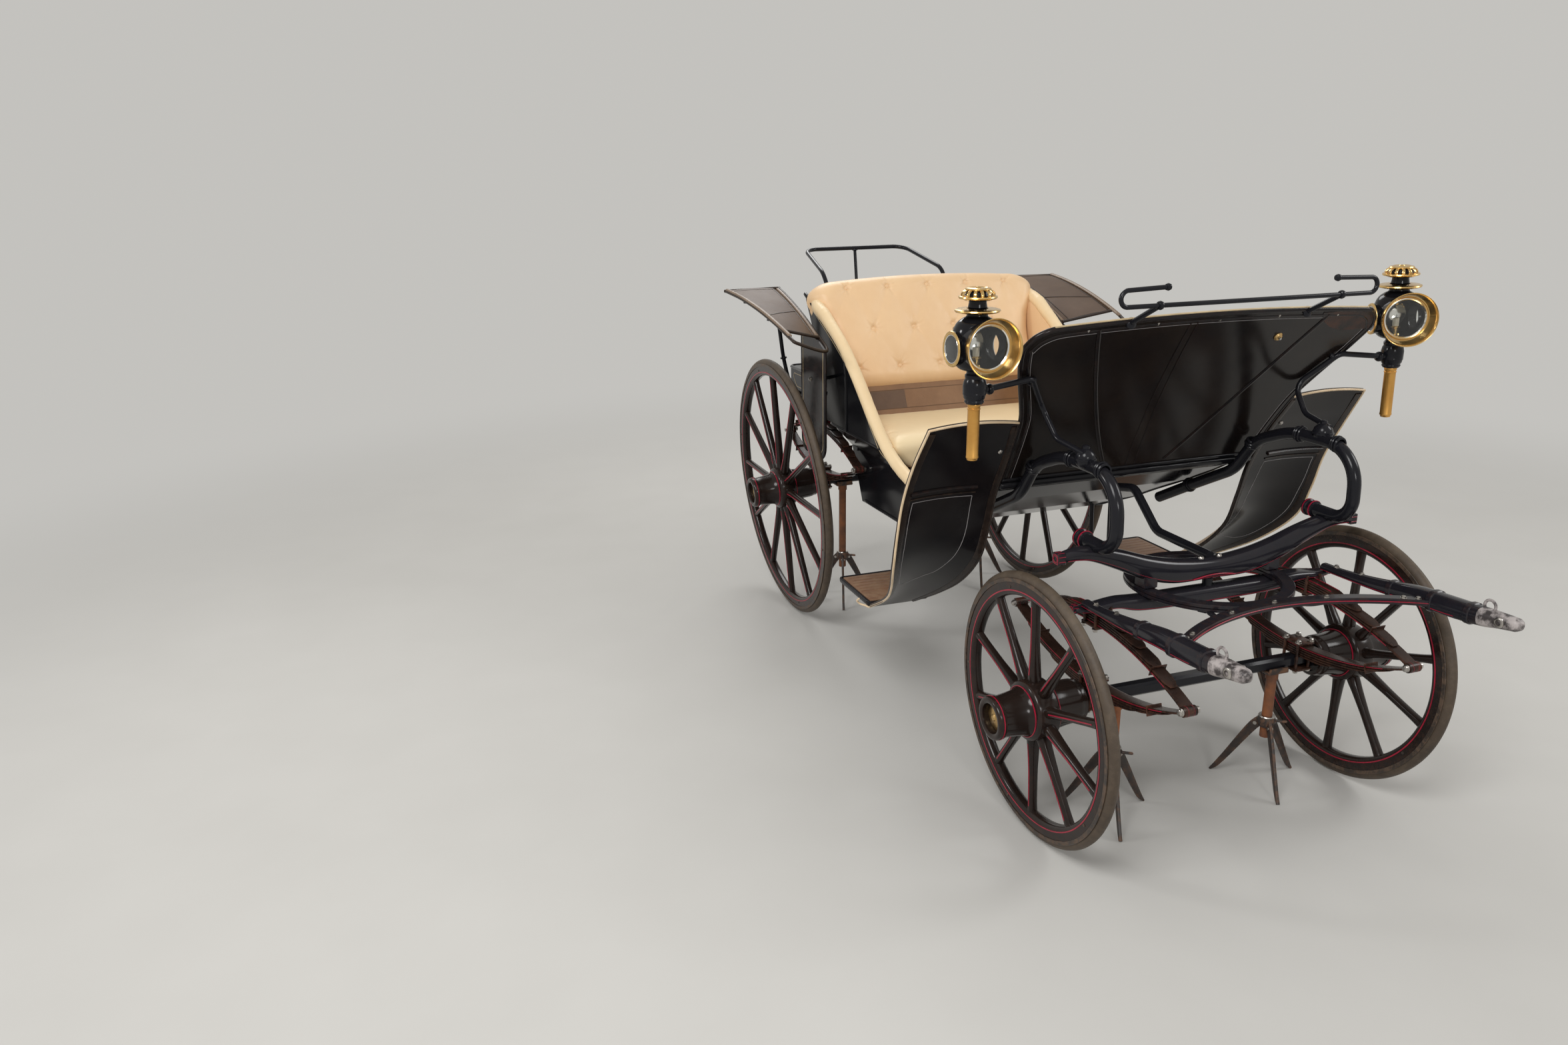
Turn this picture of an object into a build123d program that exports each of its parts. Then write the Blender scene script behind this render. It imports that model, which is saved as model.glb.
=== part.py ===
from build123d import *
import math
import os

# A low park phaeton on elliptic springs, resting on museum axle stands. Millimetres.
# Working frame: y = 0 at the rear axle, the front of the carriage towards -Y, +X its left hand,
# z = 0 at the floor. Every piece is shifted along Y at the end so that the origin is the middle
# of the overall length.

# Wheels and axles
WHEELBASE = 1874.0
REAR_WHEEL_R = 531.0
FRONT_WHEEL_R = 381.0
REAR_HALF_TRACK = 598.0
FRONT_HALF_TRACK = 534.0
REAR_CAMBER = 4.5
FRONT_CAMBER = 2.4
REAR_SPOKES = 12
FRONT_SPOKES = 10
TYRE_DEPTH = 27.0
TYRE_HALF_WIDTH = 17.0
TYRE_SHOULDER_HALF = 12.0
TYRE_CROWN_RISE = 6.0
FELLOE_DEPTH = 40.0
FELLOE_HALF_WIDTH = 17.0
HUB_HALF_LENGTH = 137.0
HUB_END_R = 54.0
HUB_FLANGE_R = 84.0
HUB_FLANGE_HALF = 30.0
HUB_RECESS_R = 38.0
HUB_RECESS_DEPTH = 12.0
SPOKE_FOOT_R = 17.5
SPOKE_TIP_R = 13.0
JOURNAL_R = 16.0
JOURNAL_PLAY = 0.05
JOURNAL_REACH = 90.0
COLLAR_R = 32.0
COLLAR_GAP = 5.0
AXLE_SECTION = 36.0
WHEEL_FLOOR_GAP = 3.0

# Tub: the top edge and the underside are seen from the side, the width is seen from the front
SIDE_THICK = 18.0
FLOOR_THICK = 20.0
TUCK_HALF_WIDTH = 385.0
TUCK_TOP_Z = 745.0
SHOULDER_HALF_WIDTH = 452.0
SHOULDER_Z = 825.0
TOP_HALF_WIDTH = 488.0
TOP_Z = 1290.0
BACK_TOP = (12.0, 1315.0)
BACK_FOOT = (-165.0, 950.0)
BOOT_BACK_Y = 500.0
BOOT_TOP_Z = 950.0
BOOT_BOTTOM_Z = 830.0
ROLL_R = 21.0

# Seat
CUSHION_TOP_Z = 872.0
CUSHION_THICK = 115.0
CUSHION_FRONT_Y = -735.0
CUSHION_BACK_Y = -255.0
BACKREST_BOTTOM = (-278.0, 976.0)
BACKREST_TOP = (-77.0, 1405.0)
BACKREST_THICK = 95.0
SOFT_GAP = 4.0

# Dash and side wings
DASH_FOOT = (-1478.0, 902.0)
DASH_HEAD = (-1828.0, 1415.0)
DASH_BOW = 12.0
DASH_THICK = 14.0
DASH_FOOT_HALF = 441.0
DASH_HEAD_HALF = 561.0
RAIL_R = 6.0
RAIL_Y = -1936.0
RAIL_Z = 1460.0
RAIL_HALF = 397.0
RAIL_CURL_RISE = 40.0
RAIL_POST_X = 282.0
WING_THICK = 10.0

# Step
STEP_TOP_Z = 383.0
STEP_THICK = 14.0
STEP_FRONT_Y = -990.0
STEP_BACK_Y = -722.0
STEP_INNER_X = 412.0
STEP_OUTER_X = 637.0
STEP_IRON_R = 8.0
STEP_IRON_ELBOW = 20.0

# Fore-carriage
KINGPIN_R = 14.0
TURNTABLE_R = 225.0
TURNTABLE_WIDTH = 34.0
TURNTABLE_THICK = 10.0
TURNTABLE_GAP = 1.0
BOLSTER_TOP_Z = 672.0
BEAM_DEPTH = 58.0
SWAN_X = TUCK_HALF_WIDTH - 2.0
SWAN_R = 18.0
FUTCHELL_X = 400.0
FUTCHELL_END_Y = -2490.0
BOW_BAR_Y = -2238.0
BOW_BAR_BOW = 126.0
BOW_BAR_Z = 702.0
SHAFT_BOLT_INSET = 36.0
SHAFT_BOLT_Z = 721.0
SHAFT_BOLT_R = 7.0

# Springs
FRONT_SPRING_X = 352.0
SPRING_WIDTH = 38.0
SPRING_SIDE_GAP = 16.0
REAR_SPRING_X = TUCK_HALF_WIDTH + SPRING_SIDE_GAP + SPRING_WIDTH / 2
LEAF = 7.0
LEAVES = 5
FRONT_SPRING_HALF = 390.0
REAR_SPRING_HALF = 385.0
FRONT_SPRING_SAG = 84.0
REAR_SPRING_SAG = 84.0
EYE_R = 13.0

# Lamps
LAMP_X = 685.0
LAMP_Y = -1752.0
LAMP_BEZEL_Z = 1345.0
LAMP_IRON_R = 8.0

# Groom's seat
RUMBLE_Z = 1085.0
RUMBLE_HALF_WIDTH = 225.0
RUMBLE_FRONT_Y = 235.0
RUMBLE_BACK_Y = 610.0
RUMBLE_BOARD = 22.0
RUMBLE_RAIL_Z = 1440.0
RUMBLE_RAIL_Y = 665.0
RUMBLE_RAIL_HALF = 245.0
RUMBLE_RAIL_R = 9.0
RUMBLE_ARM_HALF = 288.0
RUMBLE_ARM_Y = 292.0
RUMBLE_ARM_Z = 1352.0

# Rear mudguards
GUARD_THICK = 9.0
GUARD_INNER_X = 534.0
GUARD_SKIRT_THICK = 7.0
GUARD_SKIRT_BOTTOM_Z = 715.0
GUARD_SKIRT_FRONT_Y = -285.0
GUARD_SKIRT_BACK_Y = -85.0

# Stands
STAND_FOOT_R = 140.0
STAND_POST_R = 15.0
STAND_COLLAR_Z = 190.0
FRONT_STAND_X = 270.0
REAR_STAND_X = 330.0

REAR_END_Y = RUMBLE_RAIL_Y + RUMBLE_RAIL_R
Y_SHIFT = -(FUTCHELL_END_Y + REAR_END_Y) / 2

FRONT_AXLE_Y = -WHEELBASE


def wheel_centre_z(radius, camber):
    """Height of the rim's centre with the tyre just clear of the floor."""
    lean = math.radians(camber)
    return WHEEL_FLOOR_GAP + radius * math.cos(lean)


REAR_WHEEL_Z = wheel_centre_z(REAR_WHEEL_R, REAR_CAMBER)
FRONT_WHEEL_Z = wheel_centre_z(FRONT_WHEEL_R, FRONT_CAMBER)
COLLAR_INNER = HUB_HALF_LENGTH + COLLAR_GAP + 8.0
REAR_AXLE_Z = REAR_WHEEL_Z + COLLAR_INNER * math.sin(math.radians(REAR_CAMBER))
FRONT_AXLE_Z = FRONT_WHEEL_Z + COLLAR_INNER * math.sin(math.radians(FRONT_CAMBER))


def left_to_right(shape):
    return mirror(shape, about=Plane.YZ)


def side_prism(outline, x_from, x_to):
    """A (y, z) outline drawn out along X."""
    face = make_face(outline)
    return Pos(x_from, 0, 0) * extrude(Plane.YZ * face, amount=x_to - x_from)


def front_prism(outline, y_from, y_to):
    """An (x, z) outline drawn out along Y."""
    face = make_face(outline)
    plane = Plane(origin=(0, y_from, 0), x_dir=(1, 0, 0), z_dir=(0, -1, 0))
    return extrude(plane * face, amount=y_from - y_to)


def plan_prism(outline, z_from, z_to):
    """An (x, y) outline drawn out along Z."""
    return Pos(0, 0, z_from) * extrude(make_face(outline), amount=z_to - z_from)


def closed(*points):
    return Polyline(*points, close=True)


def rod(points, radius, bends):
    """Round iron along straight runs joined by tangent arcs."""
    path = FilletPolyline(*points, radius=bends) if bends else Polyline(*points)
    section = Plane(origin=path @ 0, z_dir=path % 0) * Circle(radius)
    return sweep(section, path=path)


def bar(start, end, radius):
    axis = Vector(*end) - Vector(*start)
    return Plane(origin=start, z_dir=axis) * Cylinder(
        radius, axis.length, align=(Align.CENTER, Align.CENTER, Align.MIN)
    )


# Wheels


def wheel(radius, spokes):
    """Wooden wheel about the X axis, its outer face towards +X, with a blind journal bore."""
    felloe_out = radius - TYRE_DEPTH
    felloe_in = felloe_out - FELLOE_DEPTH
    bore = JOURNAL_R + JOURNAL_PLAY
    bore_end = JOURNAL_REACH + 4.0
    hub_outline = closed(
        (-HUB_HALF_LENGTH, bore),
        (-HUB_HALF_LENGTH, HUB_END_R),
        (-HUB_HALF_LENGTH + 24, HUB_END_R + 5),
        (-HUB_FLANGE_HALF - 8, HUB_END_R + 12),
        (-HUB_FLANGE_HALF, HUB_FLANGE_R),
        (HUB_FLANGE_HALF, HUB_FLANGE_R),
        (HUB_FLANGE_HALF + 8, HUB_END_R + 12),
        (HUB_HALF_LENGTH - 24, HUB_END_R + 2),
        (HUB_HALF_LENGTH, HUB_END_R),
        (HUB_HALF_LENGTH, HUB_RECESS_R),
        (HUB_HALF_LENGTH - HUB_RECESS_DEPTH, HUB_RECESS_R),
        (HUB_HALF_LENGTH - HUB_RECESS_DEPTH, 0),
        (bore_end, 0),
        (bore_end, bore),
    )
    chamfer_width = FELLOE_HALF_WIDTH / 2
    felloe_outline = closed(
        (-FELLOE_HALF_WIDTH, felloe_out),
        (FELLOE_HALF_WIDTH, felloe_out),
        (FELLOE_HALF_WIDTH, felloe_in + chamfer_width),
        (FELLOE_HALF_WIDTH - chamfer_width, felloe_in),
        (chamfer_width - FELLOE_HALF_WIDTH, felloe_in),
        (-FELLOE_HALF_WIDTH, felloe_in + chamfer_width),
    )
    hub = revolve(make_face(hub_outline), axis=Axis.X)
    felloe = revolve(make_face(felloe_outline), axis=Axis.X)
    foot = HUB_FLANGE_R - 10
    length = felloe_in + 8 - foot
    spoke = Pos(0, 0, foot) * Cone(
        SPOKE_FOOT_R, SPOKE_TIP_R, length, align=(Align.CENTER, Align.CENTER, Align.MIN)
    )
    rays = [Rot(360.0 * k / spokes, 0, 0) * spoke for k in range(spokes)]
    return hub + felloe + rays


def tyre(radius):
    felloe_out = radius - TYRE_DEPTH
    outline = closed(
        (-TYRE_HALF_WIDTH, felloe_out),
        (TYRE_HALF_WIDTH, felloe_out),
        (TYRE_SHOULDER_HALF, radius - TYRE_CROWN_RISE),
        (0, radius),
        (-TYRE_SHOULDER_HALF, radius - TYRE_CROWN_RISE),
    )
    return revolve(make_face(outline), axis=Axis.X)


def wheel_place(half_track, axle_y, centre_z, camber):
    return Pos(half_track, axle_y, centre_z) * Rot(0, camber, 0)


def axle(half_track, axle_y, centre_z, beam_z, camber):
    """Square bed with a canted journal and collar at each end."""
    beam_half = half_track - (COLLAR_INNER - 6.0) * math.cos(math.radians(camber))
    chamfered = closed(
        *[
            (axle_y + sy * AXLE_SECTION / 2, beam_z + sz * AXLE_SECTION / 2)
            for sy, sz in ((-1, -0.6), (-0.6, -1), (0.6, -1), (1, -0.6), (1, 0.6), (0.6, 1), (-0.6, 1), (-1, 0.6))
        ]
    )
    beam = side_prism(chamfered, -beam_half, beam_half)
    along_x = Rot(0, 90, 0)
    to_start = (Align.CENTER, Align.CENTER, Align.MIN)
    journal = Pos(-COLLAR_INNER, 0, 0) * along_x * Cylinder(JOURNAL_R, COLLAR_INNER + JOURNAL_REACH, align=to_start)
    collar = Pos(-COLLAR_INNER, 0, 0) * along_x * Cylinder(COLLAR_R, 8.0, align=to_start)
    arm = wheel_place(half_track, axle_y, centre_z, camber) * (journal + collar)
    return beam + arm + left_to_right(arm)


# Springs


def leaf(arc_r, half_angle, thick, centre_y, centre_z):
    def point(r, angle):
        return (centre_y + r * math.sin(angle), centre_z + r * math.cos(angle))

    inner = ThreePointArc(point(arc_r, -half_angle), point(arc_r, 0), point(arc_r, half_angle))
    outer_r = arc_r + thick
    outer = ThreePointArc(point(outer_r, -half_angle), point(outer_r, 0), point(outer_r, half_angle))
    return make_face([inner, Line(inner @ 1, outer @ 1), outer, Line(outer @ 0, inner @ 0)])


def elliptic_spring(x, y, z_foot, half_length, sag):
    """Full elliptic: each half has its longest leaf inside and shorter leaves outside it."""
    arc_r = (half_length**2 + sag**2) / (2 * sag)
    full_angle = math.asin(half_length / arc_r)
    stack = LEAF * LEAVES
    z_eye = z_foot + stack + sag
    pack = None
    for step in range(LEAVES):
        half_angle = full_angle * (1 - 0.17 * step)
        face = leaf(arc_r + LEAF * step, half_angle, LEAF, y, z_eye + sag - arc_r)
        band = extrude(Plane.YZ * face, amount=SPRING_WIDTH)
        pack = band if pack is None else pack + band
    clip = Pos(-3, y, z_eye + sag + stack / 2) * Box(
        SPRING_WIDTH + 6, 74, stack, align=(Align.MIN, Align.CENTER, Align.CENTER)
    )
    upper = pack + clip
    lower = mirror(upper, about=Plane.XY.offset(z_eye))
    eyes = [
        Pos(0, y + side * half_length, z_eye) * Rot(0, 90, 0)
        * Cylinder(EYE_R, SPRING_WIDTH, align=(Align.CENTER, Align.CENTER, Align.MIN))
        for side in (-1, 1)
    ]
    return Pos(x - SPRING_WIDTH / 2, 0, 0) * (upper + lower + eyes)


def spring_height(sag):
    return 2 * (LEAF * LEAVES + sag)


# Tub


def width_region(inset, z_low, z_high):
    """The tub's section seen from the front, its sides moved inwards by inset."""
    half = [
        (TUCK_HALF_WIDTH - inset, z_low),
        (TUCK_HALF_WIDTH - inset, TUCK_TOP_Z),
        (SHOULDER_HALF_WIDTH - inset, SHOULDER_Z),
        (TOP_HALF_WIDTH - inset, TOP_Z),
        (TOP_HALF_WIDTH - inset, z_high),
    ]
    other = [(-x, z) for x, z in reversed(half)]
    return front_prism(closed(*half, *other), -2000, 1000)


def wall_half_width(z):
    """Outer half width of the flared side above its shoulder."""
    return SHOULDER_HALF_WIDTH + (TOP_HALF_WIDTH - SHOULDER_HALF_WIDTH) * (z - SHOULDER_Z) / (TOP_Z - SHOULDER_Z)


def padding_half_width(z):
    """Half width left for the upholstery between the padded rolls."""
    return wall_half_width(z) - SIDE_THICK / 2 - ROLL_R - SOFT_GAP


# Underside of the tub, (y, z), from the dash foot back to the boot
UNDERSIDE = [
    (-1452, 898),
    (-1418, 880),
    (-1250, 775),
    (-1010, 655),
    (-760, 552),
    (-340, 540),
    (-262, 690),
    (-195, BOOT_BOTTOM_Z),
]


def tub_side_outline():
    """Side elevation of the panel: a sweep from the seat corner down to the sill and up to the dash."""
    edge = [
        ThreePointArc(BACK_TOP, (-190, 1219), (-375, 1115)),
        ThreePointArc((-375, 1115), (-500, 1000), (-610, 885)),
        ThreePointArc((-610, 885), (-760, 778), (-960, 737)),
        ThreePointArc((-960, 737), (-1220, 776), (-1440, 915)),
    ]
    under = Polyline((-1440, 915), *UNDERSIDE, (BACK_FOOT[0] + 60, BOOT_BOTTOM_Z), BACK_FOOT, BACK_TOP)
    return [*edge, under]


def tub_side():
    panel = side_prism(tub_side_outline(), 0, TOP_HALF_WIDTH + 10)
    shell = width_region(0, 400, 1500) - width_region(SIDE_THICK, 300, 1600)
    return panel & shell


def floor_board():
    upper = [(y, z + FLOOR_THICK) for y, z in reversed(UNDERSIDE)]
    band = side_prism(closed(*UNDERSIDE, *upper), -600, 600)
    return band & width_region(SIDE_THICK, 300, 1600)


def back_panel():
    foot_y, foot_z = BACK_FOOT
    top_y, top_z = BACK_TOP
    outline = closed(
        (foot_y, foot_z),
        (top_y, top_z),
        (top_y - SIDE_THICK, top_z),
        (foot_y - SIDE_THICK, foot_z),
        (foot_y - SIDE_THICK, BOOT_BOTTOM_Z + FLOOR_THICK),
        (foot_y, BOOT_BOTTOM_Z + FLOOR_THICK),
    )
    return side_prism(outline, -600, 600) & width_region(SIDE_THICK, 300, 1600)


def boot():
    """Closed box behind the seat that carries the groom's seat."""
    front = BACK_FOOT[0]
    box = side_prism(
        closed(
            (front, BOOT_BOTTOM_Z),
            (BOOT_BACK_Y - 70, BOOT_BOTTOM_Z),
            (BOOT_BACK_Y, BOOT_BOTTOM_Z + 60),
            (BOOT_BACK_Y, BOOT_TOP_Z),
            (front, BOOT_TOP_Z),
        ),
        -TUCK_HALF_WIDTH,
        TUCK_HALF_WIDTH,
    )
    return fillet(box.edges().filter_by(Axis.Z), 25)


def seat_box():
    """Board under the cushion with its front riser."""
    bottom = CUSHION_TOP_Z - CUSHION_THICK - SOFT_GAP
    thick = 16.0
    front = CUSHION_FRONT_Y + 30
    outline = closed(
        (BACK_FOOT[0] - SIDE_THICK, bottom),
        (CUSHION_FRONT_Y, bottom),
        (CUSHION_FRONT_Y, bottom - thick),
        (front, bottom - thick),
        (front, 575),
        (front + thick, 575),
        (front + thick, bottom - thick),
        (BACK_FOOT[0] - SIDE_THICK, bottom - thick),
    )
    return side_prism(outline, -600, 600) & width_region(SIDE_THICK, 300, 1600)


def seat_cushion():
    bottom = CUSHION_TOP_Z - CUSHION_THICK
    outline = closed(
        (CUSHION_BACK_Y, bottom),
        (CUSHION_BACK_Y, CUSHION_TOP_Z),
        (CUSHION_FRONT_Y + 25, CUSHION_TOP_Z - 12),
        (CUSHION_FRONT_Y, CUSHION_TOP_Z - 40),
        (CUSHION_FRONT_Y, bottom),
    )
    return side_prism(outline, -600, 600) & width_region(SIDE_THICK / 2 + ROLL_R + SOFT_GAP, 300, 1600)


def backrest():
    """Padded back: a slab leaning with the back panel, its upper corners rounded."""
    (low_y, low_z), (high_y, high_z) = BACKREST_BOTTOM, BACKREST_TOP
    length = math.hypot(high_y - low_y, high_z - low_z)
    lean = Plane(
        origin=(0, low_y, low_z), x_dir=(1, 0, 0), z_dir=(0, -(high_z - low_z), high_y - low_y)
    )
    shoulder = length - 190
    low_half = padding_half_width(low_z)
    high_half = padding_half_width(low_z + (high_z - low_z) * shoulder / length)
    outline = [
        Line((-low_half, 0), (low_half, 0)),
        Line((low_half, 0), (high_half, shoulder)),
        ThreePointArc((high_half, shoulder), (high_half - 28, length - 62), (high_half - 146, length - 14)),
        ThreePointArc((high_half - 146, length - 14), (0, length), (146 - high_half, length - 14)),
        ThreePointArc((146 - high_half, length - 14), (28 - high_half, length - 62), (-high_half, shoulder)),
        Line((-high_half, shoulder), (-low_half, 0)),
    ]
    return extrude(lean * make_face(outline), amount=-BACKREST_THICK)


def side_roll():
    """Padded roll on the side's top edge, in the panel's own slightly flared plane."""
    flare = math.degrees(math.atan2(TOP_HALF_WIDTH - SHOULDER_HALF_WIDTH, TOP_Z - SHOULDER_Z))
    points = [(-60, 1322), (-200, 1232), (-375, 1137), (-490, 1028), (-600, 915), (-720, 815), (-860, 768), (-1010, 752)]
    path = FilletPolyline(*points, radius=[200, 220, 400, 400, 260, 400])
    wire = Plane.YZ * path
    section = Plane(origin=wire @ 0, z_dir=wire % 0) * Circle(ROLL_R)
    tube = sweep(section, path=wire)
    hinge_x = SHOULDER_HALF_WIDTH - SIDE_THICK / 2
    return Pos(hinge_x, 0, SHOULDER_Z) * Rot(0, flare, 0) * Pos(0, 0, -SHOULDER_Z) * tube


# Dash, rein rail and wings


def dash_y(z):
    """Mid-surface of the leaning dash at a height."""
    share = (z - DASH_FOOT[1]) / (DASH_HEAD[1] - DASH_FOOT[1])
    return DASH_FOOT[0] + (DASH_HEAD[0] - DASH_FOOT[0]) * share + 4 * DASH_BOW * share * (1 - share)


def dash():
    """Leather-covered board: a slightly hollow profile cut to a flared outline, with a moulded foot."""
    z_low, z_high = DASH_FOOT[1], DASH_HEAD[1]
    z_mid = (z_low + z_high) / 2
    half = DASH_THICK / 2
    front = ThreePointArc(
        (dash_y(z_low) - half, z_low), (dash_y(z_mid) - half, z_mid), (dash_y(z_high) - half, z_high)
    )
    back = ThreePointArc(
        (dash_y(z_high) + half, z_high), (dash_y(z_mid) + half, z_mid), (dash_y(z_low) + half, z_low)
    )
    profile = [front, Line(front @ 1, back @ 0), back, Line(back @ 1, front @ 0)]
    board = side_prism(profile, -700, 700)
    foot, head = DASH_FOOT_HALF, DASH_HEAD_HALF
    outline = [
        Line((-foot, z_low), (foot, z_low)),
        ThreePointArc((foot, z_low), (foot + 6, 1010), (foot + 25, 1130)),
        ThreePointArc((foot + 25, 1130), (head - 48, 1228), (head, 1338)),
        ThreePointArc((head, 1338), (head - 16, 1376), (head - 60, 1398)),
        ThreePointArc((head - 60, 1398), (0, z_high), (60 - head, 1398)),
        ThreePointArc((60 - head, 1398), (16 - head, 1376), (-head, 1338)),
        ThreePointArc((-head, 1338), (48 - head, 1228), (-foot - 25, 1130)),
        ThreePointArc((-foot - 25, 1130), (-foot - 6, 1010), (-foot, z_low)),
    ]
    cut = board & front_prism(outline, -1300, -2100)
    moulding = bar((-foot, dash_y(z_low), z_low), (foot, dash_y(z_low), z_low), 11)
    return cut + moulding


def rein_rail():
    top = RAIL_Z + RAIL_CURL_RISE
    points = [
        (-RAIL_HALF + 130, RAIL_Y, top + 4),
        (-RAIL_HALF, RAIL_Y, top),
        (-RAIL_HALF, RAIL_Y, RAIL_Z),
        (RAIL_HALF, RAIL_Y, RAIL_Z),
        (RAIL_HALF, RAIL_Y, top),
        (RAIL_HALF - 130, RAIL_Y, top + 4),
    ]
    rail = rod(points, RAIL_R, 21)
    head_z = DASH_HEAD[1] - 12
    posts = [bar((x, dash_y(head_z) - 4, head_z), (x, RAIL_Y, RAIL_Z), 7) for x in (-RAIL_POST_X, RAIL_POST_X)]
    return rail + posts


# Wing stations down the sheet: y, z, inner x, outer x, hollow
WING_STATIONS = [
    (-1618, 1118, 470, 742, 0),
    (-1545, 1000, 455, 752, 6),
    (-1482, 880, 452, 753, 14),
    (-1448, 765, 452, 752, 30),
    (-1405, 655, 454, 742, 45),
    (-1300, 548, 456, 700, 40),
    (-1160, 458, 462, 655, 22),
    (STEP_FRONT_Y + 6, STEP_TOP_Z - STEP_THICK - 8, 470, STEP_OUTER_X - 4, 0),
]


def wing():
    """Leather mud wing: a sheet hollowed towards the front wheel, sweeping back and down to the step."""
    sections = []
    last = len(WING_STATIONS) - 1
    for index, (y, z, x_in, x_out, hollow) in enumerate(WING_STATIONS):
        y_a, z_a = WING_STATIONS[max(index - 1, 0)][:2]
        y_b, z_b = WING_STATIONS[min(index + 1, last)][:2]
        station = Plane(origin=(0, y, z), x_dir=(1, 0, 0), z_dir=(0, y_b - y_a, z_b - z_a))
        x_mid = (x_in + x_out) / 2
        if hollow:
            front = ThreePointArc((x_in, 0), (x_mid, -hollow), (x_out, 0))
            back = ThreePointArc((x_out, -WING_THICK), (x_mid, -hollow - WING_THICK), (x_in, -WING_THICK))
        else:
            front = Line((x_in, 0), (x_out, 0))
            back = Line((x_out, -WING_THICK), (x_in, -WING_THICK))
        face = make_face([front, Line(front @ 1, back @ 0), back, Line(back @ 1, front @ 0)])
        sections.append(station * face)
    return loft(sections, ruled=True)


def floor_underside_z(y):
    """Height of the tub's underside at a place along its length."""
    for (y_a, z_a), (y_b, z_b) in zip(UNDERSIDE, UNDERSIDE[1:]):
        if y_a <= y <= y_b:
            return z_a + (z_b - z_a) * (y - y_a) / (y_b - y_a)


def step():
    """Tread below the door gap on two curved irons from the floor."""
    bottom = STEP_TOP_Z - STEP_THICK
    tread = plan_prism(
        closed(
            (STEP_INNER_X, STEP_FRONT_Y), (STEP_OUTER_X, STEP_FRONT_Y),
            (STEP_OUTER_X, STEP_BACK_Y), (STEP_INNER_X, STEP_BACK_Y),
        ),
        bottom, STEP_TOP_Z,
    )
    tread = fillet(tread.edges().filter_by(Axis.Z), 16)
    iron_z = bottom - STEP_IRON_R + 2
    irons = []
    for share in (0.3, 0.72):
        y = STEP_BACK_Y + (STEP_FRONT_Y - STEP_BACK_Y) * share
        route = [
            (TUCK_HALF_WIDTH - 30, y, floor_underside_z(y) + 4),
            (TUCK_HALF_WIDTH - 24, y, iron_z + 70),
            (STEP_INNER_X - STEP_IRON_ELBOW, y, iron_z),
            (STEP_OUTER_X - 35, y, iron_z),
        ]
        irons.append(rod(route, STEP_IRON_R, 38))
    return tread + irons


# Fore-carriage irons


def swan_neck():
    """Arched iron that lets the front wheel pass beneath the body."""
    points = [(-1150, 690), (-1330, 786), (-1500, 874), (-1578, 985), (-1720, 1040), (-1962, 1040), (-1973, 838), (-1815, 838)]
    path = [(SWAN_X, y, z) for y, z in points]
    neck = rod(path, SWAN_R, [400, 160, 170, 300, 112, 62])
    collar = Pos(SWAN_X + 8, -1825, 1058) * Sphere(27)
    return neck + collar


def lamp_iron():
    """Stay from the swan neck's collar, up the dash and out to the lamp socket."""
    socket_x = LAMP_X - 20
    points = [
        (SWAN_X + 20, -1838, 1074),
        (SWAN_X + 34, -1725, 1092),
        (SWAN_X + 44, dash_y(1165) - 17, 1165),
        (508, dash_y(1265) - 19, 1262),
        (socket_x, LAMP_Y, 1246),
    ]
    return rod(points, LAMP_IRON_R, [45, 45, 26])


# Transom stations from the middle out: x, centre z, half depth, half height
TRANSOM_STATIONS = [
    (0, 722, BEAM_DEPTH / 2, 29),
    (120, 727, BEAM_DEPTH / 2, 34),
    (215, 750, 28, 32),
    (300, 783, 26, 27),
    (380, 809, 23, 21),
    (430, 815, 20, 18),
    (487, 809, 14, 13),
]
TRANSOM_FOOT_Z = TRANSOM_STATIONS[0][1] - TRANSOM_STATIONS[0][3]


def carved_beam(stations, y):
    """Rounded beam across the carriage through stations that are mirrored left and right."""
    mirrored = [(-x, z, depth, height) for x, z, depth, height in reversed(stations[1:])]
    sections = []
    for x, z, depth, height in [*mirrored, *stations]:
        station = Plane(origin=(x, y, z), x_dir=(0, 1, 0), z_dir=(1, 0, 0))
        sections.append(station * RectangleRounded(2 * depth, 2 * height, 0.55 * min(depth, height)))
    return loft(sections, ruled=True)


def transom():
    beam = carved_beam(TRANSOM_STATIONS, FRONT_AXLE_Y)
    plate = Pos(0, FRONT_AXLE_Y, TRANSOM_FOOT_Z - TURNTABLE_THICK) * ring(TURNTABLE_R, TURNTABLE_WIDTH, TURNTABLE_THICK)
    pad_width = 42.0
    pad = Pos(TURNTABLE_R - pad_width / 2, FRONT_AXLE_Y, TRANSOM_FOOT_Z + 17) * Box(pad_width, BEAM_DEPTH - 8, 36)
    return beam + plate + pad + left_to_right(pad)


def centre_iron():
    """Round iron from the dash foot over the turntable to the middle of the transom."""
    end_z = TRANSOM_STATIONS[0][1] + TRANSOM_STATIONS[0][3] + 4
    points = [(-1430, 838), (-1520, 858), (-1640, 757), (FRONT_AXLE_Y, end_z)]
    return rod([(0, y, z) for y, z in points], 13, [40, 60])


def ring(outer_r, width, thick):
    to_floor = (Align.CENTER, Align.CENTER, Align.MIN)
    return Cylinder(outer_r, thick, align=to_floor) - Cylinder(outer_r - width, thick, align=to_floor)


def kingpin():
    low = BOLSTER_TOP_Z - 72
    pin = bar((0, FRONT_AXLE_Y, low), (0, FRONT_AXLE_Y, TRANSOM_FOOT_Z), KINGPIN_R)
    nut = Pos(0, FRONT_AXLE_Y, low - 8) * extrude(RegularPolygon(KINGPIN_R * 1.6, 6), amount=18)
    return pin + nut


# The bolster's ends sit on the springs
SPRING_TOP_Z = FRONT_AXLE_Z + AXLE_SECTION / 2 + 2 * (LEAF * LEAVES + FRONT_SPRING_SAG)
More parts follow.
